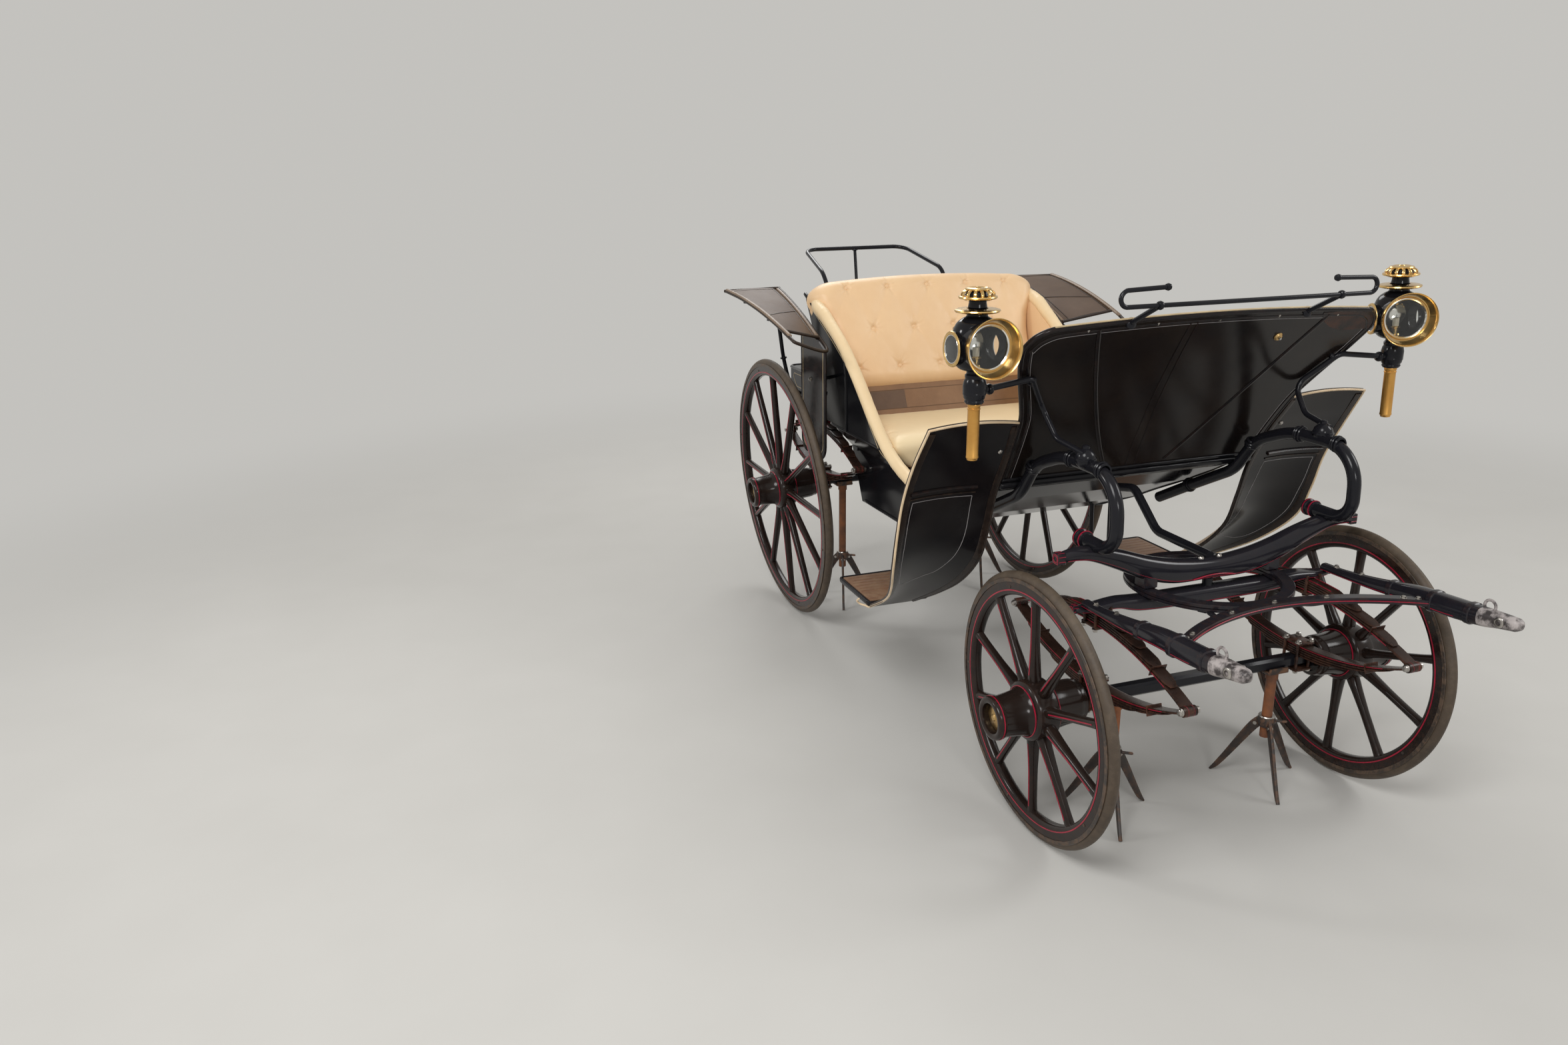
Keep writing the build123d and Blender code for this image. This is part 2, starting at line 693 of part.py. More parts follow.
# Bolster stations from the middle out: x, centre z, half depth, half height
BOLSTER_STATIONS = [
    (0, BOLSTER_TOP_Z - 24, BEAM_DEPTH / 2, 24),
    (TURNTABLE_R - 10, BOLSTER_TOP_Z - 22, BEAM_DEPTH / 2, 22),
    (FRONT_SPRING_X - SPRING_WIDTH / 2 - 32, SPRING_TOP_Z + 14, 27, 14),
    (FRONT_SPRING_X + SPRING_WIDTH / 2 + 18, SPRING_TOP_Z + 9, 22, 9),
    (FRONT_SPRING_X + SPRING_WIDTH / 2 + 57, SPRING_TOP_Z + 12, 13, 8),
]


def lower_bolster():
    """Lower beam and ring of the turntable, its ends resting on the springs."""
    top = BOLSTER_TOP_Z
    beam = carved_beam(BOLSTER_STATIONS, FRONT_AXLE_Y)
    plate = Pos(0, FRONT_AXLE_Y, top) * ring(TURNTABLE_R, TURNTABLE_WIDTH, TURNTABLE_THICK - TURNTABLE_GAP)
    hole = bar((0, FRONT_AXLE_Y, top - 80), (0, FRONT_AXLE_Y, top + 20), KINGPIN_R + JOURNAL_PLAY)
    return beam + plate - hole


# Futchell stations, front to back: y, z, half width, half height
FUTCHELL_STATIONS = [
    (FUTCHELL_END_Y, 724, 19, 17),
    (-2395, 713, 25, 24),
    (-2300, 706, 27, 26),
    (-2200, 701, 25, 24),
    (-2080, 686, 19, 18),
    (-1960, 677, 14, 12),
    (-1850, 675, 14, 11),
]


def futchell():
    """Curved wooden arm that carries a shaft, thick in the middle and thin at the bolster."""
    sections = []
    for y, z, half_w, half_h in FUTCHELL_STATIONS:
        plane = Plane(origin=(FUTCHELL_X, y, z), x_dir=(1, 0, 0), z_dir=(0, 1, 0))
        sections.append(plane * RectangleRounded(2 * half_w, 2 * half_h, min(half_w, half_h) * 0.6))
    arm = loft(sections, ruled=True)
    eye_r, eye_wire = 15.0, 4.0
    station_y, station_z, _, half_height = FUTCHELL_STATIONS[1]
    eye = Pos(FUTCHELL_X, station_y - 14, station_z + half_height + eye_r - 6) * Rot(0, 90, 0) * Torus(eye_r, eye_wire)
    bolt_y = FUTCHELL_END_Y + SHAFT_BOLT_INSET
    hole = bar((FUTCHELL_X - 60, bolt_y, SHAFT_BOLT_Z), (FUTCHELL_X + 60, bolt_y, SHAFT_BOLT_Z), SHAFT_BOLT_R)
    return arm + eye - hole


def bow_bar():
    """Curved bar across between the futchells."""
    thick, deep = 30.0, 16.0
    inner = FUTCHELL_X - 22
    back = ThreePointArc((-inner, BOW_BAR_Y), (0, BOW_BAR_Y + BOW_BAR_BOW), (inner, BOW_BAR_Y))
    front = ThreePointArc(
        (inner, BOW_BAR_Y - thick), (0, BOW_BAR_Y + BOW_BAR_BOW - thick), (-inner, BOW_BAR_Y - thick)
    )
    outline = [back, Line(back @ 1, front @ 0), front, Line(front @ 1, back @ 0)]
    return plan_prism(outline, BOW_BAR_Z - deep / 2, BOW_BAR_Z + deep / 2)


# Lamps


def round_up(outline):
    """A (radius, height) outline turned about the Z axis."""
    return revolve(Plane.XZ * make_face(outline), axis=Axis.Z)


def lamp_body():
    """Black lamp case: an upright drum with a front and a side window neck, a chimney and a socket."""
    z = LAMP_BEZEL_Z
    case = round_up(closed((0, 1279), (40, 1283), (60, 1293), (60, 1398), (44, 1415), (22, 1424), (22, 1476), (0, 1476)))
    front = Pos(0, 0, z) * Rot(90, 0, 0) * Cylinder(62, 84, align=(Align.CENTER, Align.CENTER, Align.MIN))
    side = Pos(0, 0, z) * Rot(0, 90, 0) * Cylinder(44, 72, align=(Align.CENTER, Align.CENTER, Align.MIN))
    socket = round_up(closed((0, 1214), (24, 1214), (28, 1226), (28, 1262), (20, 1282), (0, 1282)))
    return Pos(LAMP_X, LAMP_Y, 0) * (case + front + side + socket)


def lamp_brass():
    """Brass: the flared front bezel, the side ring, the stacked chimney rings and the crown."""
    z = LAMP_BEZEL_Z
    bezel_outline = closed((63.5, 62.5), (75, 92), (75, 96), (70, 96), (62, 84.5), (56, 84.5), (56, 90), (53, 90), (53, 84.2), (62.4, 84.2), (62.4, 62.5))
    bezel = Pos(0, 0, z) * Rot(90, 0, 0) * round_up(bezel_outline)
    side_outline = closed((34, 72.2), (46, 72.2), (46, 78), (34, 78))
    side = Pos(0, 0, z) * Rot(0, 90, 0) * round_up(side_outline)
    lower_ring = round_up(closed((22.2, 1437), (50, 1437), (56.5, 1443), (50, 1449), (22.2, 1449)))
    upper_ring = round_up(closed((22.2, 1470), (42, 1470), (48, 1476), (42, 1482), (22.2, 1482)))
    cap = round_up(closed((0, 1482), (34, 1482), (30, 1494), (12, 1500), (7, 1510), (0, 1512)))
    place = Pos(LAMP_X, LAMP_Y, 0)
    return [place * piece for piece in (bezel, side, lower_ring, upper_ring + cap)]


def lamp_tube():
    tube = round_up(closed((0, 1065), (12, 1065), (16.5, 1070), (16.5, 1214), (0, 1214)))
    return Pos(LAMP_X, LAMP_Y, 0) * tube


# Rear mudguards


def arched_strip(start, crown, end, thick):
    """Edge of a curved board: an arc through three (run, height) points and its thickness above it."""
    low = ThreePointArc(start, crown, end)
    high = ThreePointArc((end[0], end[1] + thick), (crown[0], crown[1] + thick), (start[0], start[1] + thick))
    return make_face([low, Line(low @ 1, high @ 0), high, Line(high @ 1, low @ 0)])


# Mudguard edges in plan, (x, y) at the front and at the back, and heights at front, middle and back
GUARD_INNER_FRONT_Y = -340.0
GUARD_OUTER_FRONT = (700.0, -450.0)
GUARD_OUTER_BACK = (760.0, 205.0)
GUARD_INNER_HEIGHTS = (1135.0, 1245.0, 1318.0)
GUARD_OUTER_HEIGHTS = (1190.0, 1275.0, 1316.0)


def mudguard():
    """Twisted board over the rear wheel, a skirt hanging from its inner edge, and the irons of both."""
    back_y = GUARD_OUTER_BACK[1]
    run_in = back_y - GUARD_INNER_FRONT_Y
    along = Vector(*GUARD_OUTER_BACK) - Vector(*GUARD_OUTER_FRONT)
    run_out = along.length
    inner_plane = Plane(origin=(GUARD_INNER_X, GUARD_INNER_FRONT_Y, 0), x_dir=(0, 1, 0), z_dir=(1, 0, 0))
    outer_plane = Plane(origin=(*GUARD_OUTER_FRONT, 0), x_dir=(along.X, along.Y, 0), z_dir=(along.Y, -along.X, 0))
    edges = []
    for plane, run, (front_z, mid_z, back_z) in (
        (inner_plane, run_in, GUARD_INNER_HEIGHTS), (outer_plane, run_out, GUARD_OUTER_HEIGHTS)
    ):
        strip = arched_strip((0, front_z), (run / 2, mid_z), (run, back_z), GUARD_THICK)
        edges.append(plane * strip)
    board = loft(edges, ruled=True)
    front_z, mid_z, back_z = GUARD_INNER_HEIGHTS
    front, back, low = GUARD_SKIRT_FRONT_Y, GUARD_SKIRT_BACK_Y, GUARD_SKIRT_BOTTOM_Z
    corner = 55.0
    skirt = side_prism(
        [
            Line((front, back_z), (front, low + corner)),
            ThreePointArc((front, low + corner), (front + 0.29 * corner, low + 0.29 * corner), (front + corner, low)),
            Line((front + corner, low), (back - corner, low)),
            ThreePointArc((back - corner, low), (back - 0.29 * corner, low + 0.29 * corner), (back, low + corner)),
            Line((back, low + corner), (back, back_z)),
            Line((back, back_z), (front, back_z)),
        ],
        GUARD_INNER_X, GUARD_INNER_X + GUARD_SKIRT_THICK,
    )
    under_board = side_prism(
        [
            ThreePointArc((GUARD_INNER_FRONT_Y, front_z + 3), ((GUARD_INNER_FRONT_Y + back_y) / 2, mid_z + 3), (back_y, back_z + 3)),
            Line((back_y, back_z + 3), (back_y, 600)),
            Line((back_y, 600), (GUARD_INNER_FRONT_Y, 600)),
            Line((GUARD_INNER_FRONT_Y, 600), (GUARD_INNER_FRONT_Y, front_z + 3)),
        ],
        GUARD_INNER_X - 20, GUARD_INNER_X + 40,
    )
    stay_y, stay_r = 110.0, 8.0
    iron = rod(
        [
            (TUCK_HALF_WIDTH - 5, stay_y, BOOT_BOTTOM_Z + 55),
            (GUARD_INNER_X - 16, stay_y, BOOT_BOTTOM_Z + 75),
            (GUARD_INNER_X + 30, stay_y, BOOT_BOTTOM_Z + 340),
            (GUARD_INNER_X + 62, stay_y, back_z - 12),
        ],
        stay_r, [70, 200],
    )
    skirt_stays = [
        bar((wall_half_width(z) - 4, (front + back) / 2, z), (GUARD_INNER_X + 2, (front + back) / 2, z), 7)
        for z in (BOOT_TOP_Z + 60,)
    ]
    return board + (skirt & under_board) + iron + skirt_stays


# Groom's seat


def rumble_seat():
    """Board on curved irons above the boot."""
    mid_y = (RUMBLE_FRONT_Y + RUMBLE_BACK_Y) / 2
    board = Pos(0, mid_y, RUMBLE_Z - RUMBLE_BOARD / 2) * Box(
        2 * RUMBLE_HALF_WIDTH, RUMBLE_BACK_Y - RUMBLE_FRONT_Y, RUMBLE_BOARD
    )
    board = fillet(board.edges().filter_by(Axis.Z), 45)
    irons = []
    for x in (-175, 175):
        for foot_y, knee_y, head_y in ((170, 175, 285), (440, 530, 560)):
            points = [(x, foot_y, BOOT_TOP_Z), (x, knee_y, BOOT_TOP_Z + 62), (x, head_y, RUMBLE_Z - RUMBLE_BOARD)]
            irons.append(rod(points, 10, 45))
    return board + irons


def rumble_cushion():
    mid_y = (RUMBLE_FRONT_Y + RUMBLE_BACK_Y) / 2
    cushion = Pos(0, mid_y, RUMBLE_Z + 42) * Box(
        2 * RUMBLE_HALF_WIDTH - 20, RUMBLE_BACK_Y - RUMBLE_FRONT_Y - 20, 82
    )
    return fillet(cushion.edges().filter_by(Axis.Z), 50)


def rumble_rail():
    """Iron back rail: level behind the groom, forward along each side and down to the seat board."""
    foot_y = RUMBLE_FRONT_Y + 60
    foot_x = RUMBLE_HALF_WIDTH + RUMBLE_RAIL_R + 4
    foot_z = RUMBLE_Z - RUMBLE_BOARD / 2
    y, z = RUMBLE_RAIL_Y, RUMBLE_RAIL_Z
    half = [(foot_x, foot_y, foot_z - 9), (RUMBLE_ARM_HALF, RUMBLE_ARM_Y, RUMBLE_ARM_Z), (RUMBLE_RAIL_HALF, y, z)]
    points = [(-x, y, z) for x, y, z in half] + half[::-1]
    rail = rod(points, RUMBLE_RAIL_R, [110, 66, 66, 110])
    feet = [
        bar((side * RUMBLE_HALF_WIDTH, foot_y, foot_z), (side * foot_x, foot_y, foot_z), RUMBLE_RAIL_R - 2)
        for side in (-1, 1)
    ]
    post = bar((0, RUMBLE_BACK_Y - 2, foot_z), (0, y, z), RUMBLE_RAIL_R - 2)
    return rail + feet + post


def rear_bar():
    """Cross bar under the boot that rests on both rear springs."""
    low = REAR_AXLE_Z + AXLE_SECTION / 2 + spring_height(REAR_SPRING_SAG)
    half = REAR_SPRING_X + SPRING_WIDTH / 2 + 6
    return Pos(0, 0, (low + BOOT_BOTTOM_Z) / 2) * Box(2 * half, 62, BOOT_BOTTOM_Z - low)


# Stands


def axle_stand(x, y, axle_z):
    """Tripod: three flat legs from a collar, a post and a saddle under the axle."""
    top = axle_z - AXLE_SECTION / 2
    to_floor = (Align.CENTER, Align.CENTER, Align.MIN)
    post = Pos(0, 0, STAND_COLLAR_Z - 40) * Cylinder(STAND_POST_R, top - STAND_COLLAR_Z + 40, align=to_floor)
    collar = Pos(0, 0, STAND_COLLAR_Z) * Cylinder(STAND_POST_R + 9, 26, align=to_floor)
    saddle = Pos(0, 0, top - 10) * Box(70, 52, 10, align=to_floor)
    leg_outline = closed(
        (STAND_POST_R - 6, STAND_COLLAR_Z + 20),
        (STAND_POST_R + 8, STAND_COLLAR_Z + 20),
        (STAND_FOOT_R + 4, 16),
        (STAND_FOOT_R + 4, 0),
        (STAND_FOOT_R - 34, 0),
        (STAND_FOOT_R - 30, 14),
        (STAND_POST_R - 6, STAND_COLLAR_Z - 30),
    )
    leg = side_prism(leg_outline, -5, 5)
    legs = [Rot(0, 0, 120 * k + 40) * leg for k in range(3)]
    return Pos(x, y, 0) * (post + collar + saddle + legs)


# Nodes

REAR_PLACE = wheel_place(REAR_HALF_TRACK, 0, REAR_WHEEL_Z, REAR_CAMBER)
FRONT_PLACE = wheel_place(FRONT_HALF_TRACK, FRONT_AXLE_Y, FRONT_WHEEL_Z, FRONT_CAMBER)
REAR_SPRING_FOOT = REAR_AXLE_Z + AXLE_SECTION / 2
FRONT_SPRING_FOOT = FRONT_AXLE_Z + AXLE_SECTION / 2

PAIRED = {
    "rear_wheel": REAR_PLACE * wheel(REAR_WHEEL_R, REAR_SPOKES),
    "rear_tyre": REAR_PLACE * tyre(REAR_WHEEL_R),
    "front_wheel": FRONT_PLACE * wheel(FRONT_WHEEL_R, FRONT_SPOKES),
    "front_tyre": FRONT_PLACE * tyre(FRONT_WHEEL_R),
    "rear_spring": elliptic_spring(REAR_SPRING_X, 0, REAR_SPRING_FOOT, REAR_SPRING_HALF, REAR_SPRING_SAG),
    "front_spring": elliptic_spring(
        FRONT_SPRING_X, FRONT_AXLE_Y, FRONT_SPRING_FOOT, FRONT_SPRING_HALF, FRONT_SPRING_SAG
    ),
    "tub_side": tub_side(),
    "side_roll": side_roll(),
    "wing": wing(),
    "step": step(),
    "swan_neck": swan_neck(),
    "lamp_iron": lamp_iron(),
    "lamp_body": lamp_body(),
    "lamp_brass": lamp_brass(),
    "lamp_tube": lamp_tube(),
    "mudguard": mudguard(),
    "futchell": futchell(),
}

SINGLE = {
    "rear_axle": axle(REAR_HALF_TRACK, 0, REAR_WHEEL_Z, REAR_AXLE_Z, REAR_CAMBER),
    "front_axle": axle(FRONT_HALF_TRACK, FRONT_AXLE_Y, FRONT_WHEEL_Z, FRONT_AXLE_Z, FRONT_CAMBER),
    "floor_board": floor_board(),
    "back_panel": back_panel(),
    "boot": boot(),
    "seat_box": seat_box(),
    "seat_cushion": seat_cushion(),
    "backrest": backrest(),
    "dash": dash(),
    "rein_rail": rein_rail(),
    "transom": transom(),
    "centre_iron": centre_iron(),
    "kingpin": kingpin(),
    "lower_bolster": lower_bolster(),
    "bow_bar": bow_bar(),
    "rumble_seat": rumble_seat(),
    "rumble_cushion": rumble_cushion(),
    "rumble_rail": rumble_rail(),
    "rear_bar": rear_bar(),
    "rear_stands": [axle_stand(x, 0, REAR_AXLE_Z) for x in (-REAR_STAND_X, REAR_STAND_X)],
    "front_stands": [axle_stand(x, FRONT_AXLE_Y, FRONT_AXLE_Z) for x in (-FRONT_STAND_X, FRONT_STAND_X)],
}


# A piece on the left is cut where it seats against the ones that carry it
SEATED = [
    ("swan_neck", ["tub_side", "floor_board", "dash", "transom"]),
    ("lamp_iron", ["swan_neck", "lamp_body", "dash"]),
    ("side_roll", ["tub_side"]),
    ("wing", ["step"]),
    ("mudguard", ["boot", "tub_side"]),
    ("step", ["tub_side", "floor_board"]),
    ("futchell", ["lower_bolster"]),
    ("seat_box", ["floor_board"]),
    ("rein_rail", ["dash"]),
    ("centre_iron", ["floor_board", "dash", "transom"]),
    ("rumble_seat", ["boot"]),
    ("rumble_rail", ["rumble_seat"]),
]


def solids_of(shape):
    items = shape if isinstance(shape, list) else [shape]
    return [solid for item in items for solid in item.solids()]


def seat(name, carriers):
    """Cut a piece to the faces that carry it and keep its main solid."""
    group = PAIRED if name in PAIRED else SINGLE
    shape = group[name]
    for carrier in carriers:
        for tool in solids_of((PAIRED if carrier in PAIRED else SINGLE)[carrier]):
            shape = max((shape - tool).solids(), key=lambda solid: solid.volume)
    group[name] = shape


for name, carriers in SEATED:
    seat(name, carriers)
for arm in (PAIRED["futchell"], left_to_right(PAIRED["futchell"])):
    SINGLE["bow_bar"] = SINGLE["bow_bar"] - arm

os.makedirs("parts", exist_ok=True)
NODES = {}
for name, shape in SINGLE.items():
    NODES[name] = solids_of(shape)
for name, shape in PAIRED.items():
    NODES[name + "_left"] = solids_of(shape)
    NODES[name + "_right"] = [left_to_right(solid) for solid in solids_of(shape)]
for name, solids in NODES.items():
    moved = [Pos(0, Y_SHIFT, 0) * solid for solid in solids]
    export_step(Compound(children=moved) if len(moved) > 1 else moved[0], f"parts/{name}.step")
print("nodes", len(NODES), "shift", Y_SHIFT, "front axle z", FRONT_AXLE_Z, "rear axle z", REAR_AXLE_Z)
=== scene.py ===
import math
import bmesh
import bpy
import numpy as np
from mathutils import Matrix, noise


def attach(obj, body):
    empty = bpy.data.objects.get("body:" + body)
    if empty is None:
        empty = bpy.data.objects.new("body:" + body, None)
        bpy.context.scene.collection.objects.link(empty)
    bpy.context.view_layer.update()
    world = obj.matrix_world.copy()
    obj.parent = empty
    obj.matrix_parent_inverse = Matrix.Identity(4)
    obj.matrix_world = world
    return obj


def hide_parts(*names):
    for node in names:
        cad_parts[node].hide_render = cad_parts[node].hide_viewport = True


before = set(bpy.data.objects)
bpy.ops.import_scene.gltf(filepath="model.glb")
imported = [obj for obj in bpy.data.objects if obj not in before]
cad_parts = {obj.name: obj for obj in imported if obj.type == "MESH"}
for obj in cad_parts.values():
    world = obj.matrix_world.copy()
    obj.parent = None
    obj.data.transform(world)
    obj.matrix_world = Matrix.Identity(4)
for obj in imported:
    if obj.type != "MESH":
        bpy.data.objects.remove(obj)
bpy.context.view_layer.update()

# Places are written in millimetres from the middle of the rear axle, as the solids are,
# and turned into the frame's metres by at().
MM = 0.001
REAR_AXLE_Y = 0.908
FRONT_AXLE = -1874.0
UP = (0.0, 0.0, 1.0)


def at(x, y, z):
    """A place in millimetres from the rear axle, as metres in the frame."""
    return np.array((x * MM, REAR_AXLE_Y + y * MM, z * MM))


def line_of(*places):
    """A straight or broken line through places in millimetres."""
    return [at(*place) for place in places]


def turn_by(degrees, axis):
    return Matrix.Rotation(math.radians(degrees), 4, axis)


def smooth(points, steps=8, loop=False):
    """A smooth run through points or table rows of any width."""
    points = [np.asarray(point, float) for point in points]
    count = len(points)
    run = []
    for i in range(count if loop else count - 1):
        b, c = points[i], points[(i + 1) % count]
        a = points[i - 1] if loop or i else 2 * b - c
        d = points[(i + 2) % count] if loop or i + 2 < count else 2 * c - b
        bend, twist = 2 * a - 5 * b + 4 * c - d, 3 * b - a - 3 * c + d
        for k in range(steps):
            t = k / steps
            run.append(0.5 * (2 * b + (c - a) * t + bend * t**2 + twist * t**3))
    if not loop:
        run.append(points[-1])
    return np.array(run)


def rounded(points, radius, steps=6):
    """Straight runs whose corners are eased by a curve of about the radius."""
    points = [np.asarray(point, float) for point in points]
    run = [points[0]]
    for a, b, c in zip(points, points[1:], points[2:]):
        into, out = a - b, c - b
        reach = min(radius, np.linalg.norm(into) * 0.48, np.linalg.norm(out) * 0.48)
        start = b + into / np.linalg.norm(into) * reach
        end = b + out / np.linalg.norm(out) * reach
        for k in range(steps + 1):
            t = k / steps
            run.append(start * (1 - t) ** 2 + 2 * b * t * (1 - t) + end * t**2)
    run.append(points[-1])
    return np.array(run)


def unit(rows):
    return rows / np.linalg.norm(rows, axis=-1, keepdims=True)


def frames(path, up, loop):
    """Directions along, across and above each point of a path."""
    if loop:
        along = np.roll(path, -1, 0) - np.roll(path, 1, 0)
    else:
        along = np.vstack([path[1:], path[-1:]]) - np.vstack([path[:1], path[:-1]])
    along = unit(along)
    if up is None:
        first = np.array((0.0, 0.0, 1.0)) if abs(along[0][2]) < 0.9 else np.array((1.0, 0.0, 0.0))
        ups = []
        for direction in along:
            first = first - direction * first.dot(direction)
            first = first / np.linalg.norm(first)
            ups.append(first)
        ups = np.array(ups)
    else:
        ups = np.broadcast_to(np.asarray(up, float), path.shape)
        ups = unit(ups - along * (ups * along).sum(1)[:, None])
    return along, np.cross(along, ups), ups


def circle(radius, sides=12):
    angles = [2 * math.pi * k / sides for k in range(sides)]
    return [(radius * math.cos(a), radius * math.sin(a)) for a in angles]


def eased(value, square):
    """A sine or cosine pushed out towards the corners of a squared section."""
    return math.copysign(abs(value) ** (2 / square), value)


def oval(half_w, half_h, sides=16, square=2.0):
    """Rounded section: square 2 is an ellipse, more is boxier."""
    return [(eased(x, square) * half_w, eased(y, square) * half_h) for x, y in circle(1.0, sides)]


def raised(width, height, sunk=1.0):
    """Section of a thin line that lies on a surface, with a flat crown and sloping shoulders."""
    half, crown = width / 2, width / 2 * 0.55
    right = [(half, -sunk), (half, height * 0.5), (crown, height)]
    return [(-half, -sunk), *right, (-crown, height), (-half, height * 0.5)]


def grid_faces(rows, columns):
    """The four-cornered faces of a grid of points, and the run of points round its border."""
    place = lambda i, j: i * columns + j
    quads = [
        (place(i, j), place(i + 1, j), place(i + 1, j + 1), place(i, j + 1))
        for i in range(rows - 1)
        for j in range(columns - 1)
    ]
    border = [place(0, j) for j in range(columns)]
    border += [place(i, columns - 1) for i in range(1, rows)]
    border += [place(rows - 1, j) for j in range(columns - 2, -1, -1)]
    border += [place(i, 0) for i in range(rows - 2, 0, -1)]
    return quads, border


# Rounded tips of a rod: how far out each added ring lies, and its size, from the end inwards
TIP_RINGS = ((0.8, 0.35), (0.5, 0.75))


class Form:
    """Points and faces of one piece, each face with the number of its finish."""

    def __init__(self):
        self.points = np.zeros((0, 3))
        self.faces = []
        self.finish = []

    def add(self, points, faces, finish=0):
        start = len(self.points)
        self.points = np.vstack([self.points, np.asarray(points, float).reshape(-1, 3)])
        self.faces += [tuple(start + i for i in face) for face in faces]
        self.finish += [finish] * len(faces)
        return self

    def join(self, other, shift=0):
        start = len(self.points)
        self.points = np.vstack([self.points, other.points])
        self.faces += [tuple(start + i for i in face) for face in other.faces]
        self.finish += [number + shift for number in other.finish]
        return self

    def moved(self, matrix):
        matrix = np.array(matrix)
        other = Form()
        other.points = self.points @ matrix[:3, :3].T + matrix[:3, 3]
        other.faces = list(self.faces)
        other.finish = list(self.finish)
        return other

    def mirrored(self):
        other = Form()
        other.points = self.points * (-1, 1, 1)
        other.faces = [face[::-1] for face in self.faces]
        other.finish = list(self.finish)
        return other

    def rod(self, path, section, scale=None, up=None, loop=False, tips=False, finish=0):
        """A section carried along a path, with flat or rounded ends."""
        path = np.asarray(path, float)
        section = np.asarray(section, float) * MM
        if scale is None:
            scale = 1.0
        scale = np.asarray(scale, float) * np.ones((len(path), 2))
        along, across, ups = frames(path, up, loop)
        if tips:
            reach = np.abs(section).max(0).min()
            rings = [(share * reach, size) for share, size in TIP_RINGS]
            for first, order in ((True, rings), (False, rings[::-1])):
                spot = 0 if first else -1
                sign = -1 if first else 1
                step = sign * along[spot]
                extra = np.array([path[spot] + step * far * scale[spot].min() for far, _ in order])
                sizes = np.array([scale[spot] * size for _, size in order])
                stack = lambda new, old: np.vstack([new, old] if first else [old, new])
                path, scale = stack(extra, path), stack(sizes, scale)
                along, across, ups = (
                    stack(np.repeat(rows[[spot]], 2, 0), rows) for rows in (along, across, ups)
                )
        count, sides = len(path), len(section)
        wide = section[None, :, :1] * scale[:, None, :1]
        high = section[None, :, 1:] * scale[:, None, 1:]
        points = path[:, None] + across[:, None] * wide + ups[:, None] * high
        faces = []
        for i in range(count if loop else count - 1):
            for j in range(sides):
                k, m = (j + 1) % sides, (i + 1) % count
                faces.append((i * sides + j, i * sides + k, m * sides + k, m * sides + j))
        if not loop:
            faces.append(tuple(range(sides))[::-1])
            faces.append(tuple((count - 1) * sides + j for j in range(sides)))
        return self.add(points, faces, finish)

    def turned(self, profile, centre, axis=(0, 0, 1), sides=48, loop=False, finish=0):
        """A (radius, height) profile turned about an axis through centre."""
        axis = unit(np.asarray(axis, float))
        first = np.array((0.0, 0.0, 1.0)) if abs(axis[2]) < 0.9 else np.array((1.0, 0.0, 0.0))
        first = unit(first - axis * first.dot(axis))
        second = np.cross(axis, first)
        points, rings = [], []
        for radius, height in profile:
            start = len(points)
            middle = centre + axis * height * MM
            if radius < 1e-6:
                points.append(middle)
                rings.append([start] * sides)
                continue
            for k in range(sides):
                a = 2 * math.pi * k / sides
                points.append(middle + (first * math.cos(a) + second * math.sin(a)) * radius * MM)
            rings.append(list(range(start, start + sides)))
        faces = []
        for low, high in zip(rings, rings[1:] + rings[:1] if loop else rings[1:]):
            for k in range(sides):
                m = (k + 1) % sides
                face = []
                for corner in (low[k], low[m], high[m], high[k]):
                    if corner not in face:
                        face.append(corner)
                if len(face) > 2:
                    faces.append(tuple(face))
        if not loop:
            for ring in (rings[0][::-1], rings[-1]):
                if ring[0] != ring[1]:
                    faces.append(tuple(ring))
        return self.add(points, faces, finish)

    def block(self, low, high, finish=0, ease=2.0):
        """A box in millimetres from the rear axle with eased edges."""
        low, high = np.array(low, float), np.array(high, float)
        middle = (low + high) / 2
        half = (high - low) / 2
        ease = min(ease, half[0] * 0.9, half[1] * 0.9, half[2] * 0.45)
        w, d = half[0], half[1]
        right = [(w - ease, -d), (w, -d + ease), (w, d - ease), (w - ease, d)]
        outline = np.array(right + [(-x, -y) for x, y in right])
        shrink = np.array([1 - ease / w, 1 - ease / d])
        layers = [(-half[2], shrink), (ease - half[2], (1, 1)), (half[2] - ease, (1, 1)), (half[2], shrink)]
        points = [
            at(middle[0] + x * size[0], middle[1] + y * size[1], middle[2] + z)
            for z, size in layers
            for x, y in outline
        ]
        faces = [
            (8 * i + j, 8 * i + (j + 1) % 8, 8 * (i + 1) + (j + 1) % 8, 8 * (i + 1) + j)
            for i in range(3)
            for j in range(8)
        ]
        faces += [tuple(range(8))[::-1], tuple(range(24, 32))]
        return self.add(points, faces, finish)

    def sheet(self, grid, thick, front=0, back=None, edge=None):
        """A sheet over a grid of places, with its back moved off along the surface's normal."""
        grid = np.asarray(grid, float)
        normal = unit(np.cross(np.gradient(grid, axis=0), np.gradient(grid, axis=1)))
        behind = grid - normal * thick * MM
        start = len(self.points)
        rear_start = start + grid.shape[0] * grid.shape[1]
        quads, border = grid_faces(*grid.shape[:2])
        self.add(np.concatenate([grid.reshape(-1, 3), behind.reshape(-1, 3)]), quads, front)
        rear = [tuple(rear_start + i for i in quad[::-1]) for quad in quads]
        rim = [
            (start + a, start + b, rear_start + b, rear_start + a)
            for a, b in zip(border, border[1:] + border[:1])
        ]
        self.faces += rear + rim
        self.finish += [front if back is None else back] * len(rear)
        self.finish += [front if edge is None else edge] * len(rim)
        return self


